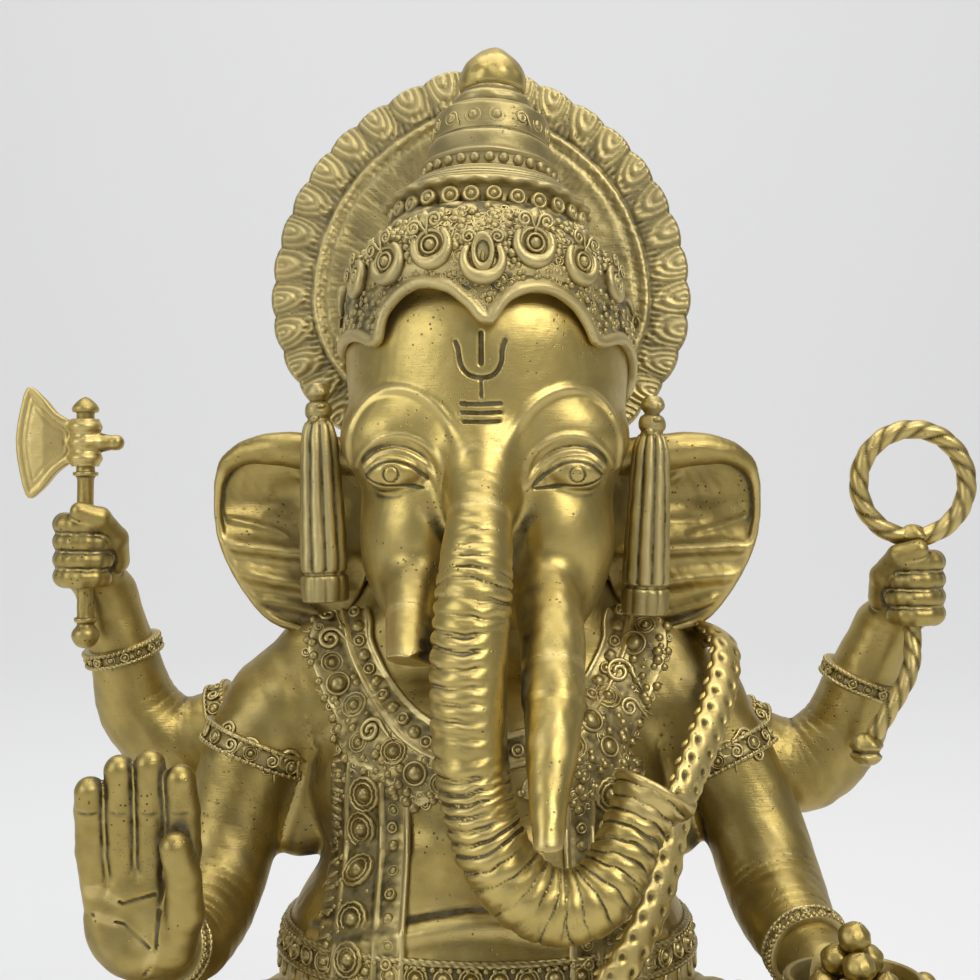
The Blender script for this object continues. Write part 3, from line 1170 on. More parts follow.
piece("right_tassel_casting", tassel(-48.6, 270.8, 0.6), DUSTY, ["right_tassel"])
piece("left_tassel_casting", tassel(47.4, 267, 2.1), DUSTY, ["left_tassel"])

# ---------------------------------------------------------------- body and limbs

# Limb paths as [x, y, z, radius]; they repeat the CAD's own, fuller at shoulder and elbow
ARM_FR = [[-44, 8, 188, 13], [-58, 7, 185.5, 16], [-68, 5, 172, 15.8], [-75, 2, 150, 14.2],
          [-79, -8, 133, 13.6], [-82, -26, 125, 11.9], [-85, -40, 127, 9.6], [-88, -52, 132, 8.6]]
ARM_FL = [[44, 8, 188, 13], [58, 7, 185.5, 15.5], [70, 4, 170, 14.6], [78, -1, 151, 14.4],
          [82, -11, 136, 14], [84, -26, 129, 12.4], [86, -38, 126, 10], [88, -48, 123, 8.8]]
ARM_RR = [[-40, 22, 187, 11], [-60, 24, 184, 12], [-80, 26, 175, 12.6], [-97, 26, 171, 13.6],
          [-108, 23, 182, 12.4], [-112, 19, 200, 10], [-116, 16, 217, 8.4]]
ARM_RL = [[40, 22, 187, 11], [60, 24, 182, 12], [78, 26, 170, 13.2], [96, 26, 163, 14.6],
          [109, 23, 173, 13.2], [115, 19, 191, 10.8], [121, 16, 207, 8.6]]
LEG_R = [[-24, 4, 84, 21], [-50, -4, 84, 23.5], [-78, -18, 83, 22.5], [-97, -34, 80, 19],
         [-92, -52, 79, 16], [-66, -62, 78, 15], [-34, -66, 76, 12], [-12, -66, 74, 9.8]]
LEG_L = [[24, 4, 85, 21], [50, -4, 85, 23.5], [78, -18, 84, 22.5], [97, -34, 81, 19],
         [92, -52, 80, 16], [66, -62, 81, 14.5], [42, -61, 88, 11.8], [22, -61, 91, 9.5]]
FOOT_R = [[-14, -66, 74, 9.6], [-2, -66, 73, 9.8], [12, -68, 72, 9.4], [26, -70, 70, 8.2],
          [31, -71, 69, 6.4]]
FOOT_L = [[24, -61, 91, 9.4], [10, -60, 94, 9.4], [-4, -60, 96, 9], [-18, -60, 97, 8], [-24, -60, 97, 6.2]]
arms = {k: Route(v, 4) for k, v in (("fr", ARM_FR), ("fl", ARM_FL), ("rr", ARM_RR), ("rl", ARM_RL))}
leg_r, leg_l, foot_r, foot_l = Route(LEG_R, 4), Route(LEG_L, 4), Route(FOOT_R, 4), Route(FOOT_L, 4)
HAND = np.array([-88, -58, 136.0])
BOWL = np.array([91, -68, 124.0])
AXE, NOOSE = np.array([-119, 6, 231.0]), np.array([126, 6, 220.0])


def torso_mass(P):
    """The torso without its fine lines: belly, chest, shoulders, hips and neck."""
    d = egg(P, (0, -5, 111), (60, 50.5, 50))
    d = smin(d, egg(P, (0, 5, 164), (52.5, 36, 37)), 9)
    d = smin(d, rod(P, (-46, 8, 186), (46, 8, 186), 15.5), 9)
    d = smin(d, egg(P, (0, 3, 80), (62, 47, 30)), 12)
    d = smin(d, rod(P, (-50, 11, 199), (50, 11, 199), 12.5), 7)
    for side in (-1, 1):
        d = smin(d, rod(P, (side * 50, 11, 198), (side * 65, 9, 187.5), 12.5, 11), 5)
        d = smin(d, rod(P, (side * 55, 9, 186), (side * 56, 6, 148), 10, 8), 6)
    d = smin(d, egg(P, (0, 13, 208), (43, 21, 30)), 8)
    d = smax(d, -egg(P, (0, 49, 160), (3.2, 9, 40)), 7)
    return smax(d, 60.5 - P[:, 2], 1.5)


BELLY_CREASE = [[-48, 130], [-36, 132.6], [-24, 135], [-10, 138], [0, 139], [10, 138], [24, 135],
                [36, 132.6], [48, 130]]
belly_crease = front_of(torso_mass, smooth(BELLY_CREASE, 3), -75)[0]
belly_fold = front_of(torso_mass, smooth(np.asarray(BELLY_CREASE) - [0, 3.6], 3), -75)[0]


def torso_field(P):
    d = torso_mass(P)
    d = add_line(d, P, belly_fold, 1.0, 4.0)
    d = cut_line(d, P, belly_crease, 0.3, 1.6)
    return d + 0.16 * ripple(P, 15, 2) + 0.07 * ripple(P, 5, 6)


def muscles(P, s):
    """The slight unevenness of an arm."""
    return 0.22 * ripple(P, 14, 3) + 0.08 * ripple(P, 5, 4)


def arm_field(key, P):
    return arms[key].field(P, muscles)


def finger(P, points, r0, r1):
    """A finger or toe through points, tapering, with its nail's end rounded."""
    p = np.asarray(points, float)
    radii = np.linspace(r0, r1, len(p))
    d = rod(P, p[0], p[1], radii[0], radii[1])
    for i in range(1, len(p) - 1):
        d = smin(d, rod(P, p[i], p[i + 1], radii[i], radii[i + 1]), 0.8)
    return d


def open_palm(P):
    """The palm of the raised hand, hollowed in the middle."""
    d = egg(P, HAND + [0.5, -1.0, 4], (14.8, 7.6, 15.5))
    return smax(d, -egg(P, HAND + [-1, -12.4, 5], (8.6, 6.4, 11)), 3.5)


PALM_LINES = [front_of(open_palm, [[HAND[0] + x, HAND[2] + z] for x, z in line], -90)[0]
              for line in ([[-10, 12.6], [-3, 9.6], [5, 12]], [[-11, 6.6], [-3, 4.4], [4, -1.4]],
                           [[2, -9], [5.6, -1], [6.4, 8]])]


def open_hand(P):
    """The raised right hand, its palm to the front and its fingers together."""
    w = HAND
    d = egg(P, w + [0.5, -1.0, 4], (14.8, 7.6, 15.5))
    d = smin(d, rod(P, arms["fr"].c[-1], w + [0, 0, 2], 8.4, 8.8), 4)
    for dx, top in ((-11.4, 41), (-4.0, 46.4), (3.6, 47.8), (11.2, 44)):
        d = smin(d, finger(P, [w + [dx * 0.85, -1, 10], w + [dx, -2.2, 22], w + [dx * 1.02, -3.4, 32],
                               w + [dx, -5.8, top - 3.6]], 4.9, 3.9), 1.2)
        for z in (22.5, 32.5):
            crease = [w + [dx - 3.4, -7.4, z], w + [dx, -8.2, z - 0.4], w + [dx + 3.4, -7.4, z]]
            d = cut_line(d, P, crease, 0.2, 0.7)
    d = smax(d, -egg(P, w + [-1, -12.4, 5], (8.6, 6.4, 11)), 3.5)
    thumb = [w + [9, -2, -3], w + [12.6, -6.4, 7], w + [13, -9.8, 17], w + [11.2, -12, 25]]
    d = smin(d, finger(P, thumb, 5.4, 3.8), 2)
    for line in PALM_LINES:
        d = cut_line(d, P, line, 0.2, 0.7)
    return d + 0.08 * ripple(P, 5, 3)


def bowl_hand(P):
    """The left hand, cupped under the bowl of sweets."""
    c = BOWL
    d = rod(P, arms["fl"].c[-1], c + [0, 6, -9], 8.6, 9.6)
    d = smin(d, egg(P, c + [0, 0, -12], (13, 13, 6.4)), 5)
    for deg, rise in ((-150, 2), (-115, 3.4), (-80, 3.6), (-45, 2.6), (10, 1)):
        a = math.radians(deg)
        u = np.array([math.cos(a), math.sin(a), 0])
        d = smin(d, finger(P, [c + u * 9 + [0, 0, -12.5], c + u * 14 + [0, 0, -8.4],
                               c + u * 17 + [0, 0, -3.6 + rise * 0.3],
                               c + u * 18.6 + [0, 0, 0.4 + rise]], 4.3, 3.1), 1.4)
    d = smax(d, -(rod(P, c + [0, 0, -7.6], c + [0, 0, 12], 9.6, 19)), 0.8)
    return d + 0.08 * ripple(P, 5, 3)


def closed_hand(P, at, side, wrist):
    """A fist round an upright grip, knuckles to the front."""
    grip = at + np.array([0, -3.5, 0])
    d = egg(P, at + [side * 1.0, 3.2, -0.5], (8.6, 6.4, 11.4))
    d = smin(d, rod(P, wrist, at + [0, 3, -5], 8.2, 7.2), 5)
    for k, z in enumerate((8.0, 2.8, -2.4, -7.4)):
        a = np.radians(90 - side * (66 + np.linspace(0, 206 - 8 * k, 7)))
        arc = np.column_stack([grip[0] + 6.1 * np.cos(a), grip[1] + 5.9 * np.sin(a),
                               np.full(7, at[2] + z) - 0.5 * np.linspace(0, 1, 7)])
        d = smin(d, finger(P, arc, 3.35, 2.7), 0.9)
    thumb = [at + [-side * 7.5, 2, -3], at + [-side * 8.6, -2.6, 3.5], at + [-side * 5.6, -8.6, 9.6],
             at + [-side * 0.6, -11, 11.6]]
    return smin(d, finger(P, thumb, 4.2, 3.0), 1.0) + 0.06 * ripple(P, 5, 3)


def toes(P, at, way, up, sizes, side):
    """Five toes in a row across the end of a foot; the great toe comes first."""
    across = np.cross(way, up) * side
    d = np.full(len(P), 1e3)
    for k, r in enumerate(sizes):
        root = at + across * (-7.2 + 3.55 * k + (0.5 if k else -0.6)) * 0.9 - way * (2 + 0.7 * k * k * 0.3)
        d = smin(d, finger(P, [root - way * 5, root + way * 1.5, root + way * (6.5 - 0.8 * k) - up * 0.8],
                           r * 1.1, r * 0.9), 0.5)
    return d


def dhoti_relief(P, s):
    """Cloth drawn round the thigh and shin: slanting folds, deeper behind the knee."""
    fold = np.sin(s * 0.33 + 0.09 * P[:, 2] + 0.9 * ripple(P, 40, 3))
    deep = 0.7 + 0.5 * ripple(P, 30, 5)
    folds = (np.sign(fold) * np.abs(fold) ** 0.6) * 0.75 * deep
    creases = 0.35 * np.sin(s * 0.95 + 1.1 * ripple(P, 16, 8))
    return folds + creases + 0.05 * ripple(P, 4, 3)


def leg_field(route, P):
    d = route.field(P, dhoti_relief)
    hem = route.c[-6]
    m = np.linalg.norm(P - hem, axis=1) < 24
    if m.any():
        q = P[m]
        dist, s = route.near(q)
        r = np.interp(s, route.s, route.r)
        at = route.s[-6]
        band = np.exp(-((s - at) / 1.6) ** 2) + 0.6 * np.exp(-((s - at + 4.5) / 1.0) ** 2)
        ankle = np.clip((s - at - 1.5) / 2, 0, 1)
        d[m] = np.where(ankle > 0, dist - r + 1.2 * ankle, d[m]) - 0.9 * band * (ankle <= 0.9)
    return d


def foot_field(route, sizes, side, P):
    d = route.field(P, lambda q, s: 0.1 * ripple(q, 8, 3))
    way = unit(route.c[-1] - route.c[-5])
    up = unit(np.array([0, -0.45, 1.0]) - way * (np.array([0, -0.45, 1.0]) @ way))
    d = smin(d, toes(P, route.c[-1] - way * 2, way, up, sizes, side), 1.6)
    sole = (P - route.c[-3]) @ up
    return smax(d, -sole - 6.6, 2.5)


TOE_SIZES = (3.4, 2.6, 2.4, 2.2, 2.0)
arm_start = {k: arms[k].s[2 * 4] for k in arms}
hand_start = {k: arms[k].s[-5] for k in arms}


HANDS = {"fr": open_hand, "fl": bowl_hand,
         "rr": lambda P: closed_hand(P, AXE, -1, arms["rr"].c[-1]),
         "rl": lambda P: closed_hand(P, NOOSE, 1, arms["rl"].c[-1])}
ARM_SIDES = {k: casting_side(arms[k], arm_start[k]) for k in arms}


def torso_solid(P):
    d = torso_field(P)
    for key in arms:
        d = smin(d, arm_field(key, P), 5.0)
        d = np.maximum(d, -ARM_SIDES[key](P) - OVERLAP)
    return d


def arm_solid(key):
    route = arms[key]

    def f(P):
        d = smin(torso_field(P), arm_field(key, P), 5.0)
        d = np.maximum(d, ARM_SIDES[key](P))
        return np.maximum(d, route.near(P)[1] - hand_start[key] - OVERLAP)
    return limited(route, f)


def hand_solid(key):
    route = arms[key]

    def f(P):
        d = smin(HANDS[key](P), arm_field(key, P), 3.0)
        return np.maximum(d, hand_start[key] - route.near(P)[1])
    return f


piece("torso_casting", mesh_of(torso_solid, (-88, -66, 59), (88, 54, 242), 0.75), BODY,
      ["torso"])
ARM_NODES = (("fr", "front_right_arm", (-100, -64, 108), (-40, 34, 216)),
             ("fl", "front_left_arm", (40, -62, 106), (104, 34, 216)),
             ("rr", "rear_right_arm", (-130, 0, 152), (-56, 44, 226)),
             ("rl", "rear_left_arm", (56, 0, 142), (136, 46, 216)))
for key, node, lo, hi in ARM_NODES:
    piece(node + "_casting", mesh_of(arm_solid(key), lo, hi, 0.6), BODY, [node])
HAND_BOXES = (("fr", "front_right_hand", (-112, -80, 116), (-66, -34, 190)),
              ("fl", "front_left_hand", (64, -94, 100), (118, -30, 134)),
              ("rr", "rear_right_hand", (-138, -16, 196), (-98, 30, 250)),
              ("rl", "rear_left_hand", (104, -16, 186), (146, 30, 240)))
for key, node, lo, hi in HAND_BOXES:
    piece(node + "_casting", mesh_of(hand_solid(key), lo, hi, 0.5), BODY, [node])
for route, node in ((leg_r, "right_leg"), (leg_l, "left_leg")):
    body = limited(route, lambda P, r=route: leg_field(r, P))
    piece(node + "_dhoti", mesh_of(body, route.lo + 2, route.hi - 2, 0.75), BODY, [node])
for route, node, side in ((foot_r, "right_foot", 1), (foot_l, "left_foot", -1)):
    f = limited(route, lambda P, r=route, s=side: foot_field(r, TOE_SIZES, s, P), 12.0)
    piece(node + "_casting", mesh_of(f, route.lo - 4, route.hi + 6, 0.55), BODY, [node])


def pleat_wear(S, A):
    """Relief round a pleat: bright on its two folded edges, dull on its broad faces."""
    return 0.45 + 0.4 * np.abs(np.cos(A)) ** 3 - 0.25 * (np.abs(np.sin(A)) > .9)


def dhoti_fan():
    """The pleats that spread from under the crossed feet: flat folds, one over the next."""
    heap = Heap()
    for k in range(-4, 5):
        top = np.array([1.6 * k + 0.5, -68.5 - 0.5 * (4 - abs(k)), 66])
        foot = np.array([7.6 * k, -71.5 - 0.9 * (4 - abs(k)), 31 + 0.5 * k * k])
        t = np.linspace(0, 1, 16)[:, None]
        path = top + (foot - top) * t + np.array([0, -3.2, 0]) * np.sin(t * 3.1)
        width = 2.2 + 3.4 * t.ravel() ** 0.8
        heap.add(*sweep(path, lambda S, A, w=width: w[:, None] * (1 + 0.10 * np.sin(5 * A + 0.3 * S)), 28,
                        (0, -1, 0.2), flat=0.42, relief=pleat_wear))
        heap.stamp(BEAD, [foot + [0, -2.0, 0.5]], [[0, -1, 0.1]], [[1.0, 0, 0]], 1.3)
    return heap.parts()


piece("dhoti_fan_pleats", dhoti_fan(), ORNAMENT, ["dhoti_fan"])

# ---------------------------------------------------------------- jewellery cast on the body

def plate(outline, lift, rough, lo, hi, cell=0.5, rims=(), field=None, back=14.0):
    """A raised sheet over the body inside an [x, z] outline, with rims along given [x, z] lines."""
    base = field or torso_field
    edge = smooth(list(outline) + [outline[0]], 3)[:-1]
    lines = [front_of(lambda P: base(P) - lift * 0.8, smooth(r, 3), -80)[0] for r in rims]

    def f(P):
        d = base(P)
        bumps = rough * (0.6 * ripple(P, 4.4, 3) + 0.4 * ripple(P, 2.2, 9, 8))
        s = np.maximum(d - lift - bumps, -d - 4.0)
        s = smax(s, inside_line(P[:, 0], P[:, 2], edge), 0.7)
        s = np.maximum(s, P[:, 1] - back)
        for line in lines:
            s = add_line(s, P, line, 0.75, 0.7)
        return s
    return mesh_of(f, lo, hi, cell)


def scatter(heap, field, xz, shapes, sizes, lift=0.0, spread_turn=6.28, jitter=0.3, start=-80):
    """Stamp shapes in turn on the surface under [x, z] points."""
    xz = np.asarray(xz, float) + rng.normal(size=(len(xz), 2)) * jitter
    at, out = front_of(field, xz, start, 34)
    landed = (np.abs(field(at)) < 0.5) & (at[:, 1] < 12) & (out[:, 1] < -0.12)
    sizes = np.broadcast_to(np.asarray(sizes, float), (len(xz),))[landed]
    xz, at, out = xz[landed], at[landed], out[landed]
    for k, shape in enumerate(shapes):
        pick = np.arange(len(xz)) % len(shapes) == k
        heap.stamp(shape, at[pick] + out[pick] * lift, out[pick], np.array([[1.0, 0, 0.15]]), sizes[pick],
                   0.15, turn=rng.uniform(-0.5, 0.5, pick.sum()) * spread_turn)
    return heap


def filling(outline, pitch, keep_off, gap):
    """Points spread over an outline, clear of the spots already taken."""
    o = np.asarray(outline, float)
    lo, hi = o.min(0), o.max(0)
    gx, gz = np.meshgrid(np.arange(lo[0], hi[0], pitch), np.arange(lo[1], hi[1], pitch * 0.9))
    gx = gx + (np.arange(gx.shape[0])[:, None] % 2) * pitch / 2
    p = np.column_stack([gx.ravel(), gz.ravel()])
    p = p + rng.normal(size=p.shape) * pitch * 0.14
    p = p[inside_line(p[:, 0], p[:, 1], o) < -0.9]
    if len(keep_off):
        near = np.linalg.norm(p[:, None] - np.asarray(keep_off, float)[None, :, :2], axis=2).min(1)
        p = p[near > gap]
    return p


def flip(line):
    return [[-x, z] for x, z in line]


# Collar: a bead row between two ridges, on each side of the trunk
COLLAR_IN = [[-35.5, 214], [-34.3, 210.6], [-34, 205.8], [-31.6, 200.4], [-28.2, 195], [-23.5, 190.2],
             [-18.1, 186.2], [-10, 182.6], [0, 181]]
COLLAR_OUT = [[-43, 213], [-41.8, 209.1], [-40.4, 203], [-37.7, 197], [-33.6, 190.2], [-28.2, 184.1],
              [-22.8, 179.4], [-14.7, 175.4], [0, 172.6]]
COLLAR_BEADS = [[-38.6, 212.6], [-37.7, 209.1], [-37, 205], [-34.6, 198], [-31.9, 193.3], [-28.9, 189.5],
                [-25.1, 185.8], [-21.1, 182.5], [-17.4, 179.4], [-9, 177.3], [0, 176.6]]
collar_in = COLLAR_IN + flip(COLLAR_IN)[-2::-1]
collar_out = COLLAR_OUT + flip(COLLAR_OUT)[-2::-1]
collar_beads = even(smooth(COLLAR_BEADS + flip(COLLAR_BEADS)[-2::-1], 5), 4.15)
collar = Heap()
collar.add(*dimmed(plate(collar_in + collar_out[::-1], 1.1, 0.2, (-52, -46, 168), (52, 16, 218), 0.5,
                         (collar_in, collar_out)), 0.7))
scatter(collar, torso_field, collar_beads, [CUP_BEAD, BEAD], 1.95, 1.0, 0.3, 0.12)
piece("neck_collar_beads", collar.parts(), ORNAMENT, ["neck_collar"])

# Necklace: rosettes and scrolls on a plate with a ragged outer edge
NECK_RIGHT = COLLAR_OUT[:-1] + [[-9, 166], [-14, 164.4], [-19.6, 161.6], [-24, 163.4], [-29, 168.6],
                                [-34.4, 171], [-39, 172.4], [-42.8, 177], [-44, 184], [-47.4, 189.6],
                                [-50, 195.6], [-52.6, 202.4], [-52, 208], [-50, 213]]
NECK_LEFT = flip(COLLAR_OUT[:-1]) + [[9, 166], [15, 163], [21, 160.4], [27, 162], [33, 166.4], [38, 172],
                                     [41.6, 178], [45.4, 185], [48.4, 191], [51.4, 197.6], [53, 204],
                                     [52.4, 209], [50, 213]]
ROSETTES = [[-46.2, 204.7, 3.3], [-45.3, 198.4, 2.8], [-43.1, 192.5, 3.3], [-37.7, 186.8, 3.4],
            [-31.9, 180.8, 3.4], [-25.5, 176, 3.3], [-19.5, 170.9, 3.1], [-12.6, 168.6, 2.7],
            [-47.2, 210.6, 2.7], [-35.6, 177.4, 2.7], [42.8, 203.7, 3.4], [46.6, 208.4, 2.6],
            [37.8, 195.6, 3.6], [33.9, 189.4, 3.5], [28.6, 183.6, 3.4], [23.8, 177.6, 3.2],
            [40.4, 186.4, 2.7], [17.4, 171, 3.0], [33.6, 176.6, 2.8]]
rosettes = np.array(ROSETTES)
necklace = Heap()
for outline, lo, hi in ((NECK_RIGHT, (-62, -50, 155), (-4, 16, 218)),
                        (NECK_LEFT, (4, -50, 155), (62, 16, 218))):
    necklace.add(*dimmed(plate(outline, 1.2, 0.16, lo, hi, 0.5), 0.68))
scatter(necklace, torso_field, rosettes[:, :2], [SPIRAL_BOSS, ROSETTE, DISC, ROSETTE],
        rosettes[:, 2] * 1.16, 1.0, 0.8, 0.1)
for outline in (NECK_RIGHT, NECK_LEFT):
    fill = filling(outline, 2.15, rosettes, 3.9)
    scatter(necklace, torso_field, fill, [COIL, BEAD, COIL_LEFT, BEAD, DISC],
            rng.uniform(1.05, 1.6, len(fill)), 1.0)
    edge = even(smooth(outline[len(COLLAR_OUT) - 1:], 4), 2.9)
    scatter(necklace, torso_field, edge, [BEAD, COIL, BEAD, COIL_LEFT], rng.uniform(1.15, 1.6, len(edge)),
            0.8)
piece("rosette_necklace_work", necklace.parts(), ORNAMENT, ["rosette_necklace"])

# Two bands that hang from the necklace: rosettes, a bead strip and a ribbed border
SASH = [[-44.4, 173], [-44.6, 160], [-44.8, 145], [-45.4, 132], [-44.6, 119], [-33, 118.4], [-22.4, 119],
        [-21.6, 134], [-21.4, 150], [-21.4, 164], [-23.4, 168], [-30, 172], [-38, 174]]
SASH_ROSETTES = [[-33.6, 164.3, 4.3], [-34.3, 154.3, 4.4], [-34.6, 144, 4.4], [-35.4, 133.9, 4.3],
                 [-36, 124.8, 4.2]]
# Lines along a band, from its inner edge to its outer one
SASH_RIM = [[-22.1, 166], [-21.6, 150], [-22, 134], [-22.6, 119]]
SASH_STRIP = [[-25.7, 166], [-25.3, 150], [-25.7, 134], [-26.2, 120]]
SASH_INNER = [[-29.4, 167], [-29, 150], [-29.4, 134], [-30, 119.4]]
SASH_BORDER = [[-38.8, 172], [-39.4, 160], [-39.6, 145], [-40.4, 132], [-41, 120]]
SASH_RIBS = [[-42, 172], [-42, 160], [-42.2, 145], [-43, 132], [-43.4, 121]]
SASH_GROUND = SASH[:5] + [[-40.6, 119], [-30.6, 119], [-30, 134], [-29.8, 150], [-30.2, 168], [-38, 173]]
sashes = Heap()
for side, lo, hi in ((-1, (-54, -62, 112), (-16, 10, 178)), (1, (16, -62, 112), (54, 10, 178))):
    turned_over = (lambda line: line) if side < 0 else flip
    rims = [turned_over(line) for line in (SASH_RIM, SASH_INNER, SASH_BORDER)]
    sashes.add(*dimmed(plate(turned_over(SASH), 1.0, 0.14, lo, hi, 0.5, rims), 0.68))
    buttons = np.array(SASH_ROSETTES) * [-side, 1, 1]
    scatter(sashes, torso_field, buttons[:, :2], [ROSETTE], buttons[:, 2] * 1.12, 1.2, 0.4, 0.08)
    strip = even(smooth(turned_over(SASH_STRIP), 4), 4.9)
    scatter(sashes, torso_field, strip, [BEAD, DISC, CUP_BEAD], 1.7, 0.9, 0.6, 0.12)
    ribs = even(smooth(turned_over(SASH_RIBS), 4), 2.5)
    at, out = front_of(torso_field, ribs, -80, 34)
    sashes.stamp(placed(BEAD, scale=(2.2, 0.85, 0.9)), at + out * 0.8, out,
                 np.array([[1.0, 0, 0.1 * side]]), 1.0)
    fill = filling(turned_over(SASH_GROUND), 2.3, buttons, 5.0)
    scatter(sashes, torso_field, fill, [BEAD, COIL, BEAD, COIL_LEFT], rng.uniform(0.75, 1.2, len(fill)),
            0.9)
piece("chest_sash_bands", sashes.parts(), ORNAMENT, ["chest_sashes"])


def around(field, angles, z, far=100.0):
    """Walk in towards the middle from all round at height z until a field is met."""
    c, s = np.cos(angles), np.sin(angles)
    r = np.full(len(angles), far)
    z = np.broadcast_to(z, r.shape)
    for _ in range(40):
        p = np.column_stack([r * c, r * s, z])
        r = r - np.clip(field(p), -3, 12) * 0.8
    p = np.column_stack([r * c, r * s, z])
    return p, unit(slope(field, p, 0.3)[1])


BELT_CORD = 1.1      # radius of the twisted cords along a belt's edges


def belt(z, height, big, pitch):
    """A girdle right round the body: two cords, a rosette row and hanging leaves."""
    heap = Heap()
    a = np.linspace(0, 2 * math.pi, 721)[:-1]
    for level in (z + height / 2, z - height / 2):
        p, out = around(torso_field, a, level)
        line = even(np.vstack([p, p[:1]]) + np.vstack([out, out[:1]]) * 0.5, 1.2)[:-1]
        heap.add(*sweep(line, lambda S, A: BELT_CORD * (1 + 0.13 * np.sin(3 * A + S * 2.2)), 10, (0, 0, 1),
                        loop=True, relief=lambda S, A: 0.5 + 0.3 * np.sin(3 * A + S * 2.2)))
    skins = []
    for level in np.linspace(z - height / 2, z + height / 2, 7):
        p, out = around(torso_field, a[::3], level)
        skins.append(p + out * 0.55)
    heap.add(np.vstack(skins), [grid_faces(len(skins), len(a[::3]), True)], 0.25)
    p, out = around(torso_field, a, z)
    ring = np.vstack([np.hstack([p, out]), np.hstack([p, out])[:1]])
    spots = even(ring, pitch)[:-1]
    for k, shape in enumerate((ROSETTE, DISC)):
        q = spots[k::2]
        heap.stamp(shape, q[:, :3] + unit(q[:, 3:]) * 0.5, q[:, 3:], UPWARDS,
                   big * (1, 0.86)[k], 0.0)
    fine = even(ring, 2.3)[:-1]
    for dz in (height * 0.34, -height * 0.34):
        heap.stamp(BEAD, fine[:, :3] + [0, 0, dz] + unit(fine[:, 3:]) * 0.5, fine[:, 3:],
                   UPWARDS, 0.72)
    q, out = around(torso_field, np.arctan2(spots[:, 1], spots[:, 0]), z - height / 2 - 3.2)
    heap.stamp(placed(BEAD, scale=(2.6, 1.5, 0.9)), q, out, UPWARDS, 1.0)
    heap.stamp(COIL, q + out * 0.5 - [0, 0, 1.0], out, UPWARDS, 1.1)
    return heap.parts()


belt_lo, belt_hi = box_mm("waist_belt")
piece("belly_band_rosettes", belt(122.6, 7.4, 3.2, 7.2), ORNAMENT, ["belly_band"])
piece("waist_belt_rosettes", belt((belt_lo[2] + belt_hi[2]) / 2, 8.0, 3.4, 8.0), ORNAMENT,
      ["waist_belt"])

# The serpent cord over the left shoulder: a flat band with pairs of dimples and toothed edges
CORD = [[52, 24, 190], [59, 14, 201], [65.5, 3, 207], [68.5, -10, 203], [64.5, -22, 190], [57, -33, 176],
        [50.5, -41, 163], [46, -48, 148], [39, -55, 134], [29.4, -60, 121], [16.6, -62, 108],
        [4, -61, 98]]
CORD_STEP, CORD_PITCH = 0.55, 5.6      # between rings of the mesh, and between pairs of dimples
cord_path = even(smooth(CORD, 8), CORD_STEP)
cord_t = unit(np.gradient(cord_path, axis=0))
cord_out = unit(slope(lambda P: smin(torso_mass(P), arms["fl"].field(P), 12), cord_path, 1.0)[1])
cord_out = unit(cord_out * [1, 1, 0.6] + np.array([0.12, -0.55, 0.0]))
cord_side = unit(np.cross(cord_t, cord_out))
cord_out = np.cross(cord_side, cord_t)
cord_s = np.arange(len(cord_path)) * CORD_STEP
n_round = 44
ang = np.arange(n_round) * 2 * math.pi / n_round
S, A = np.meshgrid(cord_s, ang, indexing="ij")
across = np.cos(A) * (4.7 + 0.3 * np.cos(S * 6.283 / CORD_PITCH + np.sign(np.cos(A)) * 0.8))
dimple = np.zeros_like(S)
for offset, shift in ((2.4, 0.0), (-2.2, 1.6)):
    local = (S - shift) / CORD_PITCH
    local = (local - np.round(local)) * CORD_PITCH
    dimple += np.exp(-((across - offset) / 0.8) ** 2 - ((local + 0.3 * (across - offset)) / 1.05) ** 2)
up = np.where(np.sin(A) > 0, 2.3, 1.7) * np.sign(np.sin(A)) * np.abs(np.sin(A)) ** 0.75
up = up - (np.sin(A) > 0) * (0.95 * dimple)
end = np.clip(np.minimum(S, cord_s[-1] - S) / 3.0, 0, 1) ** 0.5
rings = cord_path[:, None] + (across * end)[..., None] * cord_side[:, None] \
    + (up * end)[..., None] * cord_out[:, None]
v, f = capped(rings)
cord = Heap()
level = np.clip(0.72 - 0.75 * dimple - 0.3 * (np.sin(A) < 0.1), 0, 1)
cord.add(v, [q[:, ::-1] for q in f] if np.dot(np.cross(cord_side[5], cord_out[5]), cord_t[5]) > 0 else f,
         np.concatenate([level.ravel(), [0.5, 0.5]]))
teeth = np.arange(6, len(cord_path) - 6, 10)
for side in (-1, 1):
    at = cord_path[teeth] + cord_side[teeth] * side * 4.6 - cord_out[teeth] * 0.5
    cord.stamp(placed(BEAD, scale=(1.6, 0.75, 0.6)), at, cord_out[teeth] + cord_side[teeth] * side * 0.8,
               cord_t[teeth] + cord_side[teeth] * side * 0.5, 1.0)
piece("serpent_cord_band", cord.parts(), FACE, ["serpent_cord"])


# ---------------------------------------------------------------- rings round the limbs

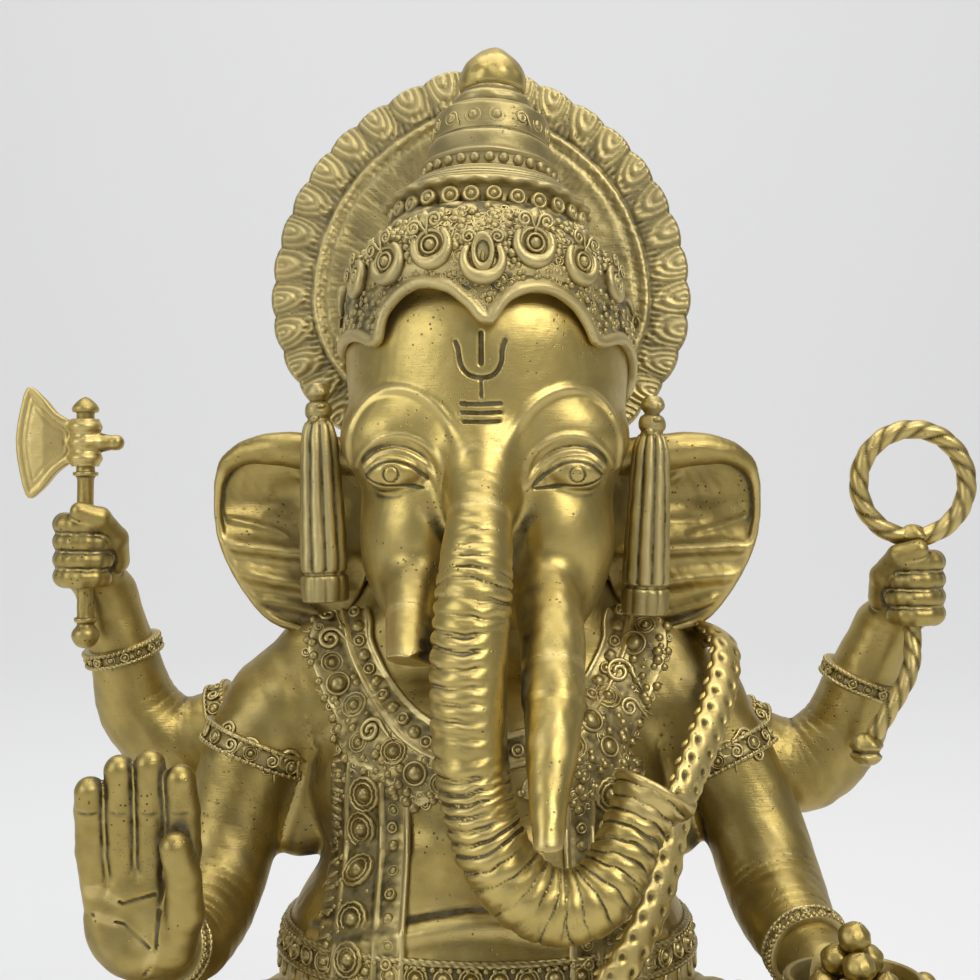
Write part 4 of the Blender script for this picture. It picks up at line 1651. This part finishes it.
def ring_on(route, s, rows, seg=96, wave=None):
    """A turned band round a limb: rows are [height over the limb, place along it]."""
    c = np.array([np.interp(s, route.s, route.c[:, k]) for k in range(3)])
    ahead = np.array([np.interp(s + 2, route.s, route.c[:, k]) for k in range(3)])
    t = unit(ahead - c)
    u = unit(np.cross(t, [0.1, 1, 0.2]))
    frame3 = np.stack([u, np.cross(t, u), t])
    r = np.interp(s, route.s, route.r)
    slope_r = (np.interp(s + 2, route.s, route.r) - r) / 2
    rows = smooth(rows, 3)
    prof = np.column_stack([r + rows[:, 0] + slope_r * rows[:, 1], rows[:, 1]])
    a = np.arange(seg) * 2 * math.pi / seg
    R = prof[:, 0][:, None] + (wave(a[None, :], prof[:, 1][:, None]) if wave else 0)
    local = np.stack([R * np.cos(a), R * np.sin(a), np.repeat(prof[:, 1][:, None], seg, 1)], 2)
    level = np.repeat(worn(prof)[:, None], seg, 1)
    return (local.reshape(-1, 3) @ frame3 + c, [grid_faces(len(prof), seg, True)],
            level.ravel()), c, frame3, r


def limb_jewel(route, s, width, big, shapes, n):
    """A band round a limb: n shapes in turn along its middle and a bead row on each edge."""
    w = width / 2
    rows = [[-1.5, -w], [1.1, -w], [1.9, -w + 0.5], [1.9, -w + 1.1], [1.0, -w + 1.6], [0.9, w - 1.6],
            [1.9, w - 1.1], [1.9, w - 0.5], [1.1, w], [-1.5, w]]
    heap = Heap()
    skin, c, m, r = ring_on(route, s, rows, wave=lambda a, z: 0.12 * np.sin(5 * a + z))
    heap.add(*skin)
    a = np.arange(n) * 2 * math.pi / n
    out = np.column_stack([np.cos(a), np.sin(a), np.zeros(n)]) @ m
    for k, shape in enumerate(shapes):
        q = out[k::len(shapes)]
        heap.stamp(shape, c + q * (r + 1.0), q, m[2][None], big, 0.0)
    fine = np.arange(3 * n) * 2 * math.pi / (3 * n)
    ring = np.column_stack([np.cos(fine), np.sin(fine), np.zeros(3 * n)]) @ m
    for dz in (-w + 0.8, w - 0.8):
        heap.stamp(BEAD, c + ring * (r + 1.6) + m[2] * dz, ring, m[2][None], 0.7)
    return heap.parts()


armlets, bangles, anklets = Heap(), Heap(), Heap()
for key in arms:
    armlets.add(*limb_jewel(arms[key], arm_start[key], 7.0, 2.2, [ROSETTE, COIL, DISC, COIL_LEFT], 16))
    bangles.add(*limb_jewel(arms[key], hand_start[key], 5.2, 1.5, [DISC, CUP_BEAD], 16))
SCROLLS = {"fr": ([-67.9, 174.6, 3.4], [-58, 170.6, 3.9], [-74.6, 179.6, 2.6], [-63.2, 168.4, 2.2]),
           "fl": ([63, 178.2, 3.0], [68.6, 174.2, 3.2], [74.4, 177.6, 2.8], [59, 172.6, 2.4],
                  [78, 172.6, 2.3])}
for key, spots4 in SCROLLS.items():
    s4 = np.array(spots4)
    at, out = front_of(arms[key].field, s4[:, :2], -60, 36)
    for k in range(len(s4)):
        armlets.stamp((COIL_LEFT, COIL)[k % 2], at[k:k + 1] + out[k:k + 1] * 0.3, out[k:k + 1],
                      [[1.0, 0, -0.4]], s4[k, 2], 0.2)
for route in (foot_r, foot_l):
    for s in (2.0, 7.0):
        anklets.add(*limb_jewel(route, s, 4.4, 1.3, [BEAD, DISC], 18))
piece("armlet_bands", armlets.parts(), ORNAMENT, ["armlets"])
piece("bangle_bands", bangles.parts(), ORNAMENT, ["bangles"])
piece("anklet_bands", anklets.parts(), ORNAMENT, ["anklets"])

# ---------------------------------------------------------------- pedestal

HALF_SPAN = 40.0      # half the length of the pedestal's straight sides
PETALS = 30           # round each row


def stadium_at(r, s):
    """Points and outward directions s of the way round a stadium of radius r (0 to 1)."""
    straight, arc = 2 * HALF_SPAN, math.pi * r
    d = (np.asarray(s, float) % 1.0) * 2 * (straight + arc)
    a = np.where(d < straight, -90.0, np.where(d < straight + arc, -90 + 180 * (d - straight) / arc,
        np.where(d < 2 * straight + arc, 90.0, 90 + 180 * (d - 2 * straight - arc) / arc)))
    a = np.radians(a)
    cx = np.where(d < straight, -HALF_SPAN + d, np.where(d < straight + arc, HALF_SPAN,
         np.where(d < 2 * straight + arc, HALF_SPAN - (d - straight - arc), -HALF_SPAN)))
    out = np.column_stack([np.cos(a), np.sin(a), np.zeros(a.shape)])
    return np.column_stack([cx, np.zeros(a.shape), np.zeros(a.shape)]) + out * r, out


def moulding(rows, count=520, wave=0.12, closed_top=False):
    """A moulding swept round the stadium: rows are [radius, z], from the inside foot upwards."""
    rows = smooth(rows, 3)
    mid = 60.0
    p, out = stadium_at(mid, np.arange(count) / count)
    wob = wave * (ripple(p, 34, 3) + 0.5 * ripple(p, 11, 5))
    grid = np.stack([p + out * ((r - mid) + wob)[:, None] + [0, 0, z] for r, z in rows])
    level = np.repeat(worn(rows)[:, None], count, 1).ravel()
    faces = [grid_faces(len(rows), count, True)]
    verts = grid.reshape(-1, 3)
    if closed_top:
        top = (len(rows) - 1) * count
        verts = np.vstack([verts, [[0, 0, rows[-1][1]]]])
        j = np.arange(count)
        faces.append(np.stack([np.full(count, len(verts) - 1), top + j, top + (j + 1) % count], 1))
        level = np.append(level, 0.4)
    return verts, faces, level


def petal(width, height, bulge, up=True, n=13, m=15):
    """A lotus petal: broad, swollen, with a raised mid-rib, a rolled edge and a curled tip."""
    v = np.linspace(0, 1, m)
    above = np.clip((v - 0.55) / 0.45, 0, 1)      # 0 at the widest place, 1 at the tip
    half = width / 2 * np.clip(np.where(v < 0.55, 0.86 + 0.25 * v, (1 - above ** 2.2) ** 0.62), 0.02, 1)
    u = np.linspace(-1, 1, n)
    U, V = np.meshgrid(u, v)
    x = U * half[:, None]
    y = bulge * np.sin(np.clip(V * 1.15, 0, 1) * math.pi * 0.62 + 0.25) * (1 - 0.55 * U ** 2)
    y = y + 0.9 * np.exp(-(U / 0.12) ** 2) * (1 - V * 0.3) + 0.75 * np.exp(-((np.abs(U) - 0.86) / 0.1) ** 2)
    lip = 2.4 * np.clip(V - 0.8, 0, 1) ** 1.2 * 3
    veins = 0.3 * np.cos(9 * U * math.pi) * (V < 0.75) * (np.abs(U) < 0.75) * 0.6
    y = y + lip + veins
    z = V * height * (1 if up else -1)
    front = np.stack([x, -y, z], 2)
    back = np.stack([x * 0.98, np.full_like(x, 1.6), z], 2)
    ring = np.concatenate([front.reshape(-1, 3), back.reshape(-1, 3)])
    g = grid_faces(m, n)
    k = m * n
    border = [(i, i + 1) for i in range(n - 1)]
    border += [(i * n + n - 1, (i + 1) * n + n - 1) for i in range(m - 1)]
    border += [((m - 1) * n + i + 1, (m - 1) * n + i) for i in reversed(range(n - 1))]
    border += [((i + 1) * n, i * n) for i in range(m - 1)]
    sides = [[a, k + a, k + b, b] for a, b in border]
    level = np.clip(0.42 + 0.4 * np.exp(-(U / 0.14) ** 2) + 0.4 * np.exp(-((np.abs(U) - 0.88) / 0.14) ** 2)
                    + 0.3 * (V > 0.85) - 0.25 * np.exp(-((np.abs(U) - 0.6) / 0.2) ** 2), 0, 1)
    f = [g if up else g[:, ::-1], (g[:, ::-1] if up else g) + k,
         np.array(sides if up else [s[::-1] for s in sides])]
    return ring, f, np.concatenate([level.ravel(), np.full(k, 0.3)])


def petals_round(shape, r, z, shift, tilt, size=1.0):
    """A petal at each of the stadium's stations, leaning out by tilt degrees."""
    heap = Heap()
    s = (np.arange(PETALS) + shift) / PETALS
    p, out = stadium_at(r, s)
    c, n = math.cos(math.radians(tilt)), math.sin(math.radians(tilt))
    v0, f, rel = shape
    for q, o in zip(p, out):
        across = np.array([-o[1], o[0], 0])
        k = size * rng.uniform(0.97, 1.03)
        lean = rng.normal() * 0.02
        m = np.stack([across, -o * c + np.array([0, 0, n]), o * (n + lean) + np.array([0, 0, c])])
        heap.add(q + [0, 0, z] + (v0 * k) @ m, f, rel)
    return heap.parts()


FOOT_ROWS = [[62, 2.0], [66, 1.2], [69.2, 1.4], [70, 2.6], [70, 5.6], [69.3, 7.2], [67.6, 8.1], [66.9, 8.8],
             [67.2, 9.8], [66.9, 11.2], [65, 12.2], [60, 12.4]]
plinth_work = Heap()
plinth_work.add(*moulding(FOOT_ROWS))
p, out = stadium_at(70.0, np.arange(96) / 96)
plinth_work.stamp(placed(BEAD, scale=(1.5, 1.0, 0.6)), p + [0, 0, 4.2] - out * 0.2, out,
                  UPWARDS, 1.25)
p, out = stadium_at(67.0, (np.arange(160)) / 160)
plinth_work.stamp(placed(BEAD, scale=(1, 0.7, 0.6)), p + [0, 0, 10.2] - out * 0.1, out,
                  UPWARDS, 0.9)
piece("plinth_moulding", plinth_work.parts(), DUSTY, ["plinth"])

low = joined(petals_round(petal(13.4, 17.2, 4.6, up=False), 62.0, 30.0, 0.0, -7),
             petals_round(petal(9.6, 15.5, 2.6, up=False), 60.6, 29.6, 0.5, -6),
             moulding([[58, 11.8], [61.5, 12.4], [61.2, 20], [60.4, 28.6], [58, 30.2], [55, 30.4]]))
piece("lotus_lower_petal_row", low, DUSTY, ["lotus_lower_petals"])

BEAD_GROOVE = [[54, 30], [57.8, 30.1], [58.4, 31.2], [58, 32.5], [58.4, 33.8], [57.8, 34.9], [54, 35]]
beads = Heap()
beads.add(*moulding(BEAD_GROOVE))
p, out = stadium_at(58.4, (np.arange(84) + 0.5) / 84)
beads.stamp(CUP_BEAD, p + [0, 0, 32.5], out, UPWARDS, 2.3, 0.2)
piece("lotus_bead_row", beads.parts(), DUSTY, ["lotus_bead_ring"])

high = joined(petals_round(petal(13.4, 18.6, 4.8), 60.6, 35.2, 0.5, 8),
              petals_round(petal(9.6, 17, 2.6), 59.6, 35.6, 0.0, 7),
              moulding([[55, 34.8], [59.4, 35], [60.6, 44], [61, 52.8], [58, 54.2], [54, 54.2]]))
piece("lotus_upper_petal_row", high, DUSTY, ["lotus_upper_petals"])

seat = Heap()
seat.add(*moulding([[52, 54.0], [61, 54.1], [62.3, 54.9], [62, 56], [61.3, 56.6], [61.3, 57.4], [62.2, 58],
                    [62, 59.2], [60.8, 60], [56, 60.3], [50, 60.4], [30, 60.3]], closed_top=True))
for r, size, n in ((59.0, 0.9, 150), (55.6, 1.5, 84)):
    p, out = stadium_at(r, (np.arange(n) + 0.5) / n)
    seat.stamp(BEAD if n > 100 else DISC, p + [0, 0, 60.1], UPWARDS + 0 * out, out, size)
piece("seat_slab_cushion", seat.parts(), DUSTY, ["seat_slab"])


# ---------------------------------------------------------------- bowl, sweets, axe and noose

BOWL_ROWS = [[0.02, -8.4], [5, -8.5], [8.6, -8.3], [9.6, -7.6], [11, -6], [13.2, -2.6], [15.2, 1],
             [16, 2.6], [16.9, 3.2], [17.2, 4], [16.8, 4.8], [15.8, 4.8], [15.2, 3.8], [13.4, 0.4],
             [11, -3.4], [7.4, -5.4], [0.02, -5.6]]


def bowl_flutes(a, z):
    return 0.3 * np.abs(np.sin(12 * a)) * (z > -7.6) * (z < 2.4) + 0.1 * np.sin(3 * a + z)


bowl = Heap()
bowl.add(*placed(turned_body(BOWL_ROWS, 4, 96, bowl_flutes), BOWL))
a = np.arange(30) * 2 * math.pi / 30
rim = BOWL + np.column_stack([16.9 * np.cos(a), 16.9 * np.sin(a), np.full(30, 3.0)])
bowl.stamp(BEAD, rim, np.column_stack([np.cos(a), np.sin(a), np.zeros(30)]), UPWARDS, 0.95)
piece("sweets_bowl_fluted", bowl.parts(), ORNAMENT, ["sweets_bowl"])


def sweet(r, seed):
    """A round sweet: slightly pinched at the top, its skin lumpy."""
    rows = np.array([[0.02, -1], [0.35, -0.93], [0.72, -0.7], [0.96, -0.3], [1.02, 0.1], [0.9, 0.46],
                     [0.66, 0.74], [0.4, 0.92], [0.2, 1.02], [0.08, 1.1], [0.02, 1.12]]) * r
    p = smooth(rows, 4)
    p[:, 0] = np.maximum(p[:, 0], 0.02)
    return lathe(p, 40, 0.35 + 0.3 * worn(p), lambda a, z: 0.09 * np.sin(6 * a + 2 * z + seed)
                 + 0.14 * np.abs(np.sin(4 * a + seed)) * (z > 0) - 0.05)


sweets = Heap()
# Three layers of sweets: distance from the bowl's middle, degrees round it, height
PILE = [(7.8, 60 * k, 1.6) for k in range(6)] + [(0, 0, 1.6)]
PILE += [(4.5, 120 * k + 30, 7.95) for k in range(3)] + [(0, 0, 14.1)]
for k, (r, deg, z) in enumerate(PILE):
    at = BOWL + [r * math.cos(math.radians(deg)), r * math.sin(math.radians(deg)), z]
    m = turn(rng.uniform(-18, 18), 0) @ turn(rng.uniform(-18, 18), 1)
    v, f, rel = sweet(3.95, k)
    sweets.add(v @ m.T + at, f, rel)
piece("sweets_pile", sweets.parts(), BODY, ["sweets"])

GRIP = np.array([0, -3.5, 0])
SHAFT_ROWS = [[0.02, -29], [2.4, -28.2], [3.9, -26], [3.9, -24], [2.8, -22.4], [2.5, -21.6],
              [3.3, -20.8], [3.3, -19.8], [2.5, -19], [2.4, -6], [2.5, 4], [2.4, 18], [2.6, 21.6],
              [3.6, 22.3], [3.6, 23.3], [2.7, 24], [2.6, 40.4], [3.6, 41], [3.9, 42.2], [3, 43.6],
              [1.4, 45], [0.02, 45.6]]


def shaft_twist(a, z):
    return 0.16 * np.sin(7 * a + 0.55 * z) * (np.abs(z + 14) < 5) + 0.06 * np.sin(3 * a + 0.3 * z)


piece("axe_shaft_turned", placed(turned_body(SHAFT_ROWS, 4, 56, shaft_twist), AXE + GRIP), BODY,
      ["axe_shaft"])

BLADE = [[-2.5, -4.6], [-8, -8.6], [-12.4, -13.6], [-16.8, -16.4], [-19.4, -9], [-20.6, 0], [-19.4, 9],
         [-16.8, 16.4], [-12.4, 13.6], [-8, 8.6], [-2.5, 4.6]]
BLADE_AT = AXE + GRIP + np.array([0, 0, 32])


def axe_blade(P):
    """The axe head: a thin bell-mouthed blade with two engraved lines, on a ringed socket."""
    q = P - BLADE_AT
    d2 = inside_line(q[:, 0], q[:, 2], smooth(BLADE + BLADE[:1], 4)[:-1])
    thick = 1.9 - 1.35 * np.clip((-q[:, 0] - 12) / 9, 0, 1)
    groove = 0.28 * np.exp(-((d2 + 2.2) / 0.45) ** 2) + 0.2 * np.exp(-((d2 + 3.7) / 0.4) ** 2)
    d = smax(d2, np.abs(q[:, 1]) - thick + groove, 0.6)
    socket = np.maximum(np.hypot(q[:, 0], q[:, 1]) - 4.5 - 0.5 * np.cos(q[:, 2] * 1.35),
                        np.abs(q[:, 2]) - 7)
    d = smin(d, socket, 1.4)
    d = smin(d, rod(q, (3, 0, 0), (8, 0, 0), 3.2, 2.1), 1.2)
    d = smin(d, np.linalg.norm(q - [9.2, 0, 0], axis=1) - 2.3, 0.6)
    return smax(d, 2.66 - np.hypot(q[:, 0], q[:, 1]), 0.1) + 0.05 * ripple(P, 4, 3)


piece("axe_blade_cast", mesh_of(axe_blade, BLADE_AT - [24, 8, 20], BLADE_AT + [14, 8, 20], 0.45), BODY,
      ["axe_blade"])


def rope(path, r, twist, loop=False):
    """A three-strand rope."""
    def strands(S, A):
        return np.abs(np.sin(1.5 * A + S * twist))
    return sweep(path, lambda S, A: r * (0.86 + 0.16 * strands(S, A) ** 0.7), 30, (0, 1, 0.05), loop=loop,
                 relief=lambda S, A: 0.15 + 0.75 * strands(S, A))


NOOSE_TAIL = [[0, 0, 15], [0, 0, 0], [0, 0, -13], [-2, -4, -24], [-9, -6, -36], [-14, -5, -44]]
noose = Heap()
a = np.arange(150) * 2 * math.pi / 150
ring = np.column_stack([16 * np.cos(a), 0 * a, 31 + 16 * np.sin(a)])
noose.add(*rope(NOOSE + GRIP + ring, 2.85, 0.5, True))
noose.add(*rope(even(smooth(NOOSE + GRIP + np.array(NOOSE_TAIL), 6), 0.7), 2.6, 0.5))
KNOT = turned_stamp([[0.02, -1], [0.5, -0.9], [0.95, -0.4], [0.8, -0.1], [1.02, 0.2], [0.86, 0.6],
                     [0.45, 0.95], [0.02, 1.05]], 36, lambda a, z: 0.06 * np.sin(5 * a + 4 * z), 4)
noose.add(*placed(KNOT, NOOSE + GRIP + [0, 0, 14.4], 4.3))
noose.add(*placed(KNOT, NOOSE + GRIP + [-15, -5, -47], 4.7))
piece("noose_rope", noose.parts(), BODY, ["noose"])

# ---------------------------------------------------------------- the CAD's own fixings

FIXINGS = ("seat_studs", "seat_washers", "seat_nuts", "halo_bolt", "halo_nut", "base_plate_screws")
for name, material in [(name, STEEL) for name in FIXINGS] + [("base_plate", DUSTY)]:
    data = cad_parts[name].data
    data.materials.clear()
    data.materials.append(material)
    data.attributes.new("relief", "FLOAT", "POINT").data.foreach_set(
        "value", np.full(len(data.vertices), 0.55, np.float32))

# ---------------------------------------------------------------- floor, light and camera

SHOT = dict(x=0.8, y=-427.0, z=249.0)      # where the photograph was taken from, in millimetres
FOCAL = 53.27                              # for a 36 mm wide sensor


def light(name, at, to, size, power, colour=(1, 1, 1)):
    """A soft rectangular lamp, in metres and watts, that shines from one place towards another."""
    data = bpy.data.lights.new(name, "AREA")
    data.shape, data.size, data.size_y = "RECTANGLE", size[0], size[1]
    data.energy, data.color = power, colour
    obj = bpy.data.objects.new(name, data)
    bpy.context.scene.collection.objects.link(obj)
    obj.location = at
    way = np.array(to, float) - np.array(at, float)
    obj.rotation_euler = (math.atan2(math.hypot(way[0], way[1]), -way[2]), 0,
                          math.atan2(way[1], way[0]) - math.pi / 2)
    return obj


def stage():
    """A pale sheet that lies on the floor and curves up behind the statue."""
    reach, wall, r = 3.2, 1.6, 0.7
    profile = [(-reach, 0.0)] + [(wall + r * math.sin(a), r - r * math.cos(a))
                                 for a in np.linspace(0, math.pi / 2, 16)] + [(wall + r, 3.4)]
    v = [(x, y, z) for x in (-4.0, 4.0) for y, z in profile]
    n = len(profile)
    me = bpy.data.meshes.new("backdrop")
    me.from_pydata(v, [], [(i, n + i, n + i + 1, i + 1) for i in range(n - 1)])
    me.polygons.foreach_set("use_smooth", [True] * len(me.polygons))
    mat = bpy.data.materials.new("pale_floor")
    mat.use_nodes = True
    shader = mat.node_tree.nodes["Principled BSDF"]
    shader.inputs["Base Color"].default_value = (0.5, 0.5, 0.5, 1)
    shader.inputs["Emission Color"].default_value = (1, 1, 1, 1)
    shader.inputs["Emission Strength"].default_value = 0.33
    shader.inputs["Roughness"].default_value = 0.9
    me.materials.append(mat)
    obj = bpy.data.objects.new("backdrop", me)
    bpy.context.scene.collection.objects.link(obj)


stage()
world = bpy.data.worlds.new("studio")
bpy.context.scene.world = world
world.use_nodes = True
world.node_tree.nodes["Background"].inputs["Color"].default_value = (0.9, 0.92, 0.95, 1)
world.node_tree.nodes["Background"].inputs["Strength"].default_value = 0.26
light("key_softbox", (0.75, -1.1, 1.25), (0, 0, 0.24), (0.9, 0.7), 13, (1, 0.98, 0.94))
light("fill_softbox", (-1.1, -0.8, 0.75), (0, 0, 0.22), (0.8, 0.9), 6, (0.96, 0.98, 1))
light("top_softbox", (0.0, -0.1, 1.5), (0, 0, 0.2), (1.2, 1.0), 8)
light("backdrop_light", (0.0, 0.6, 2.4), (0, 2.0, 0.8), (3.0, 0.8), 22)

bpy.context.scene.view_settings.view_transform = "Standard"
lens = bpy.data.cameras.new("camera")
lens.lens, lens.sensor_width = FOCAL, 36.0
lens.clip_start, lens.clip_end = 0.02, 50
camera = bpy.data.objects.new("camera", lens)
bpy.context.scene.collection.objects.link(camera)
camera.location = (SHOT["x"] * MM, SHOT["y"] * MM, SHOT["z"] * MM)
camera.rotation_euler = (math.radians(90), 0, 0)
bpy.context.scene.camera = camera
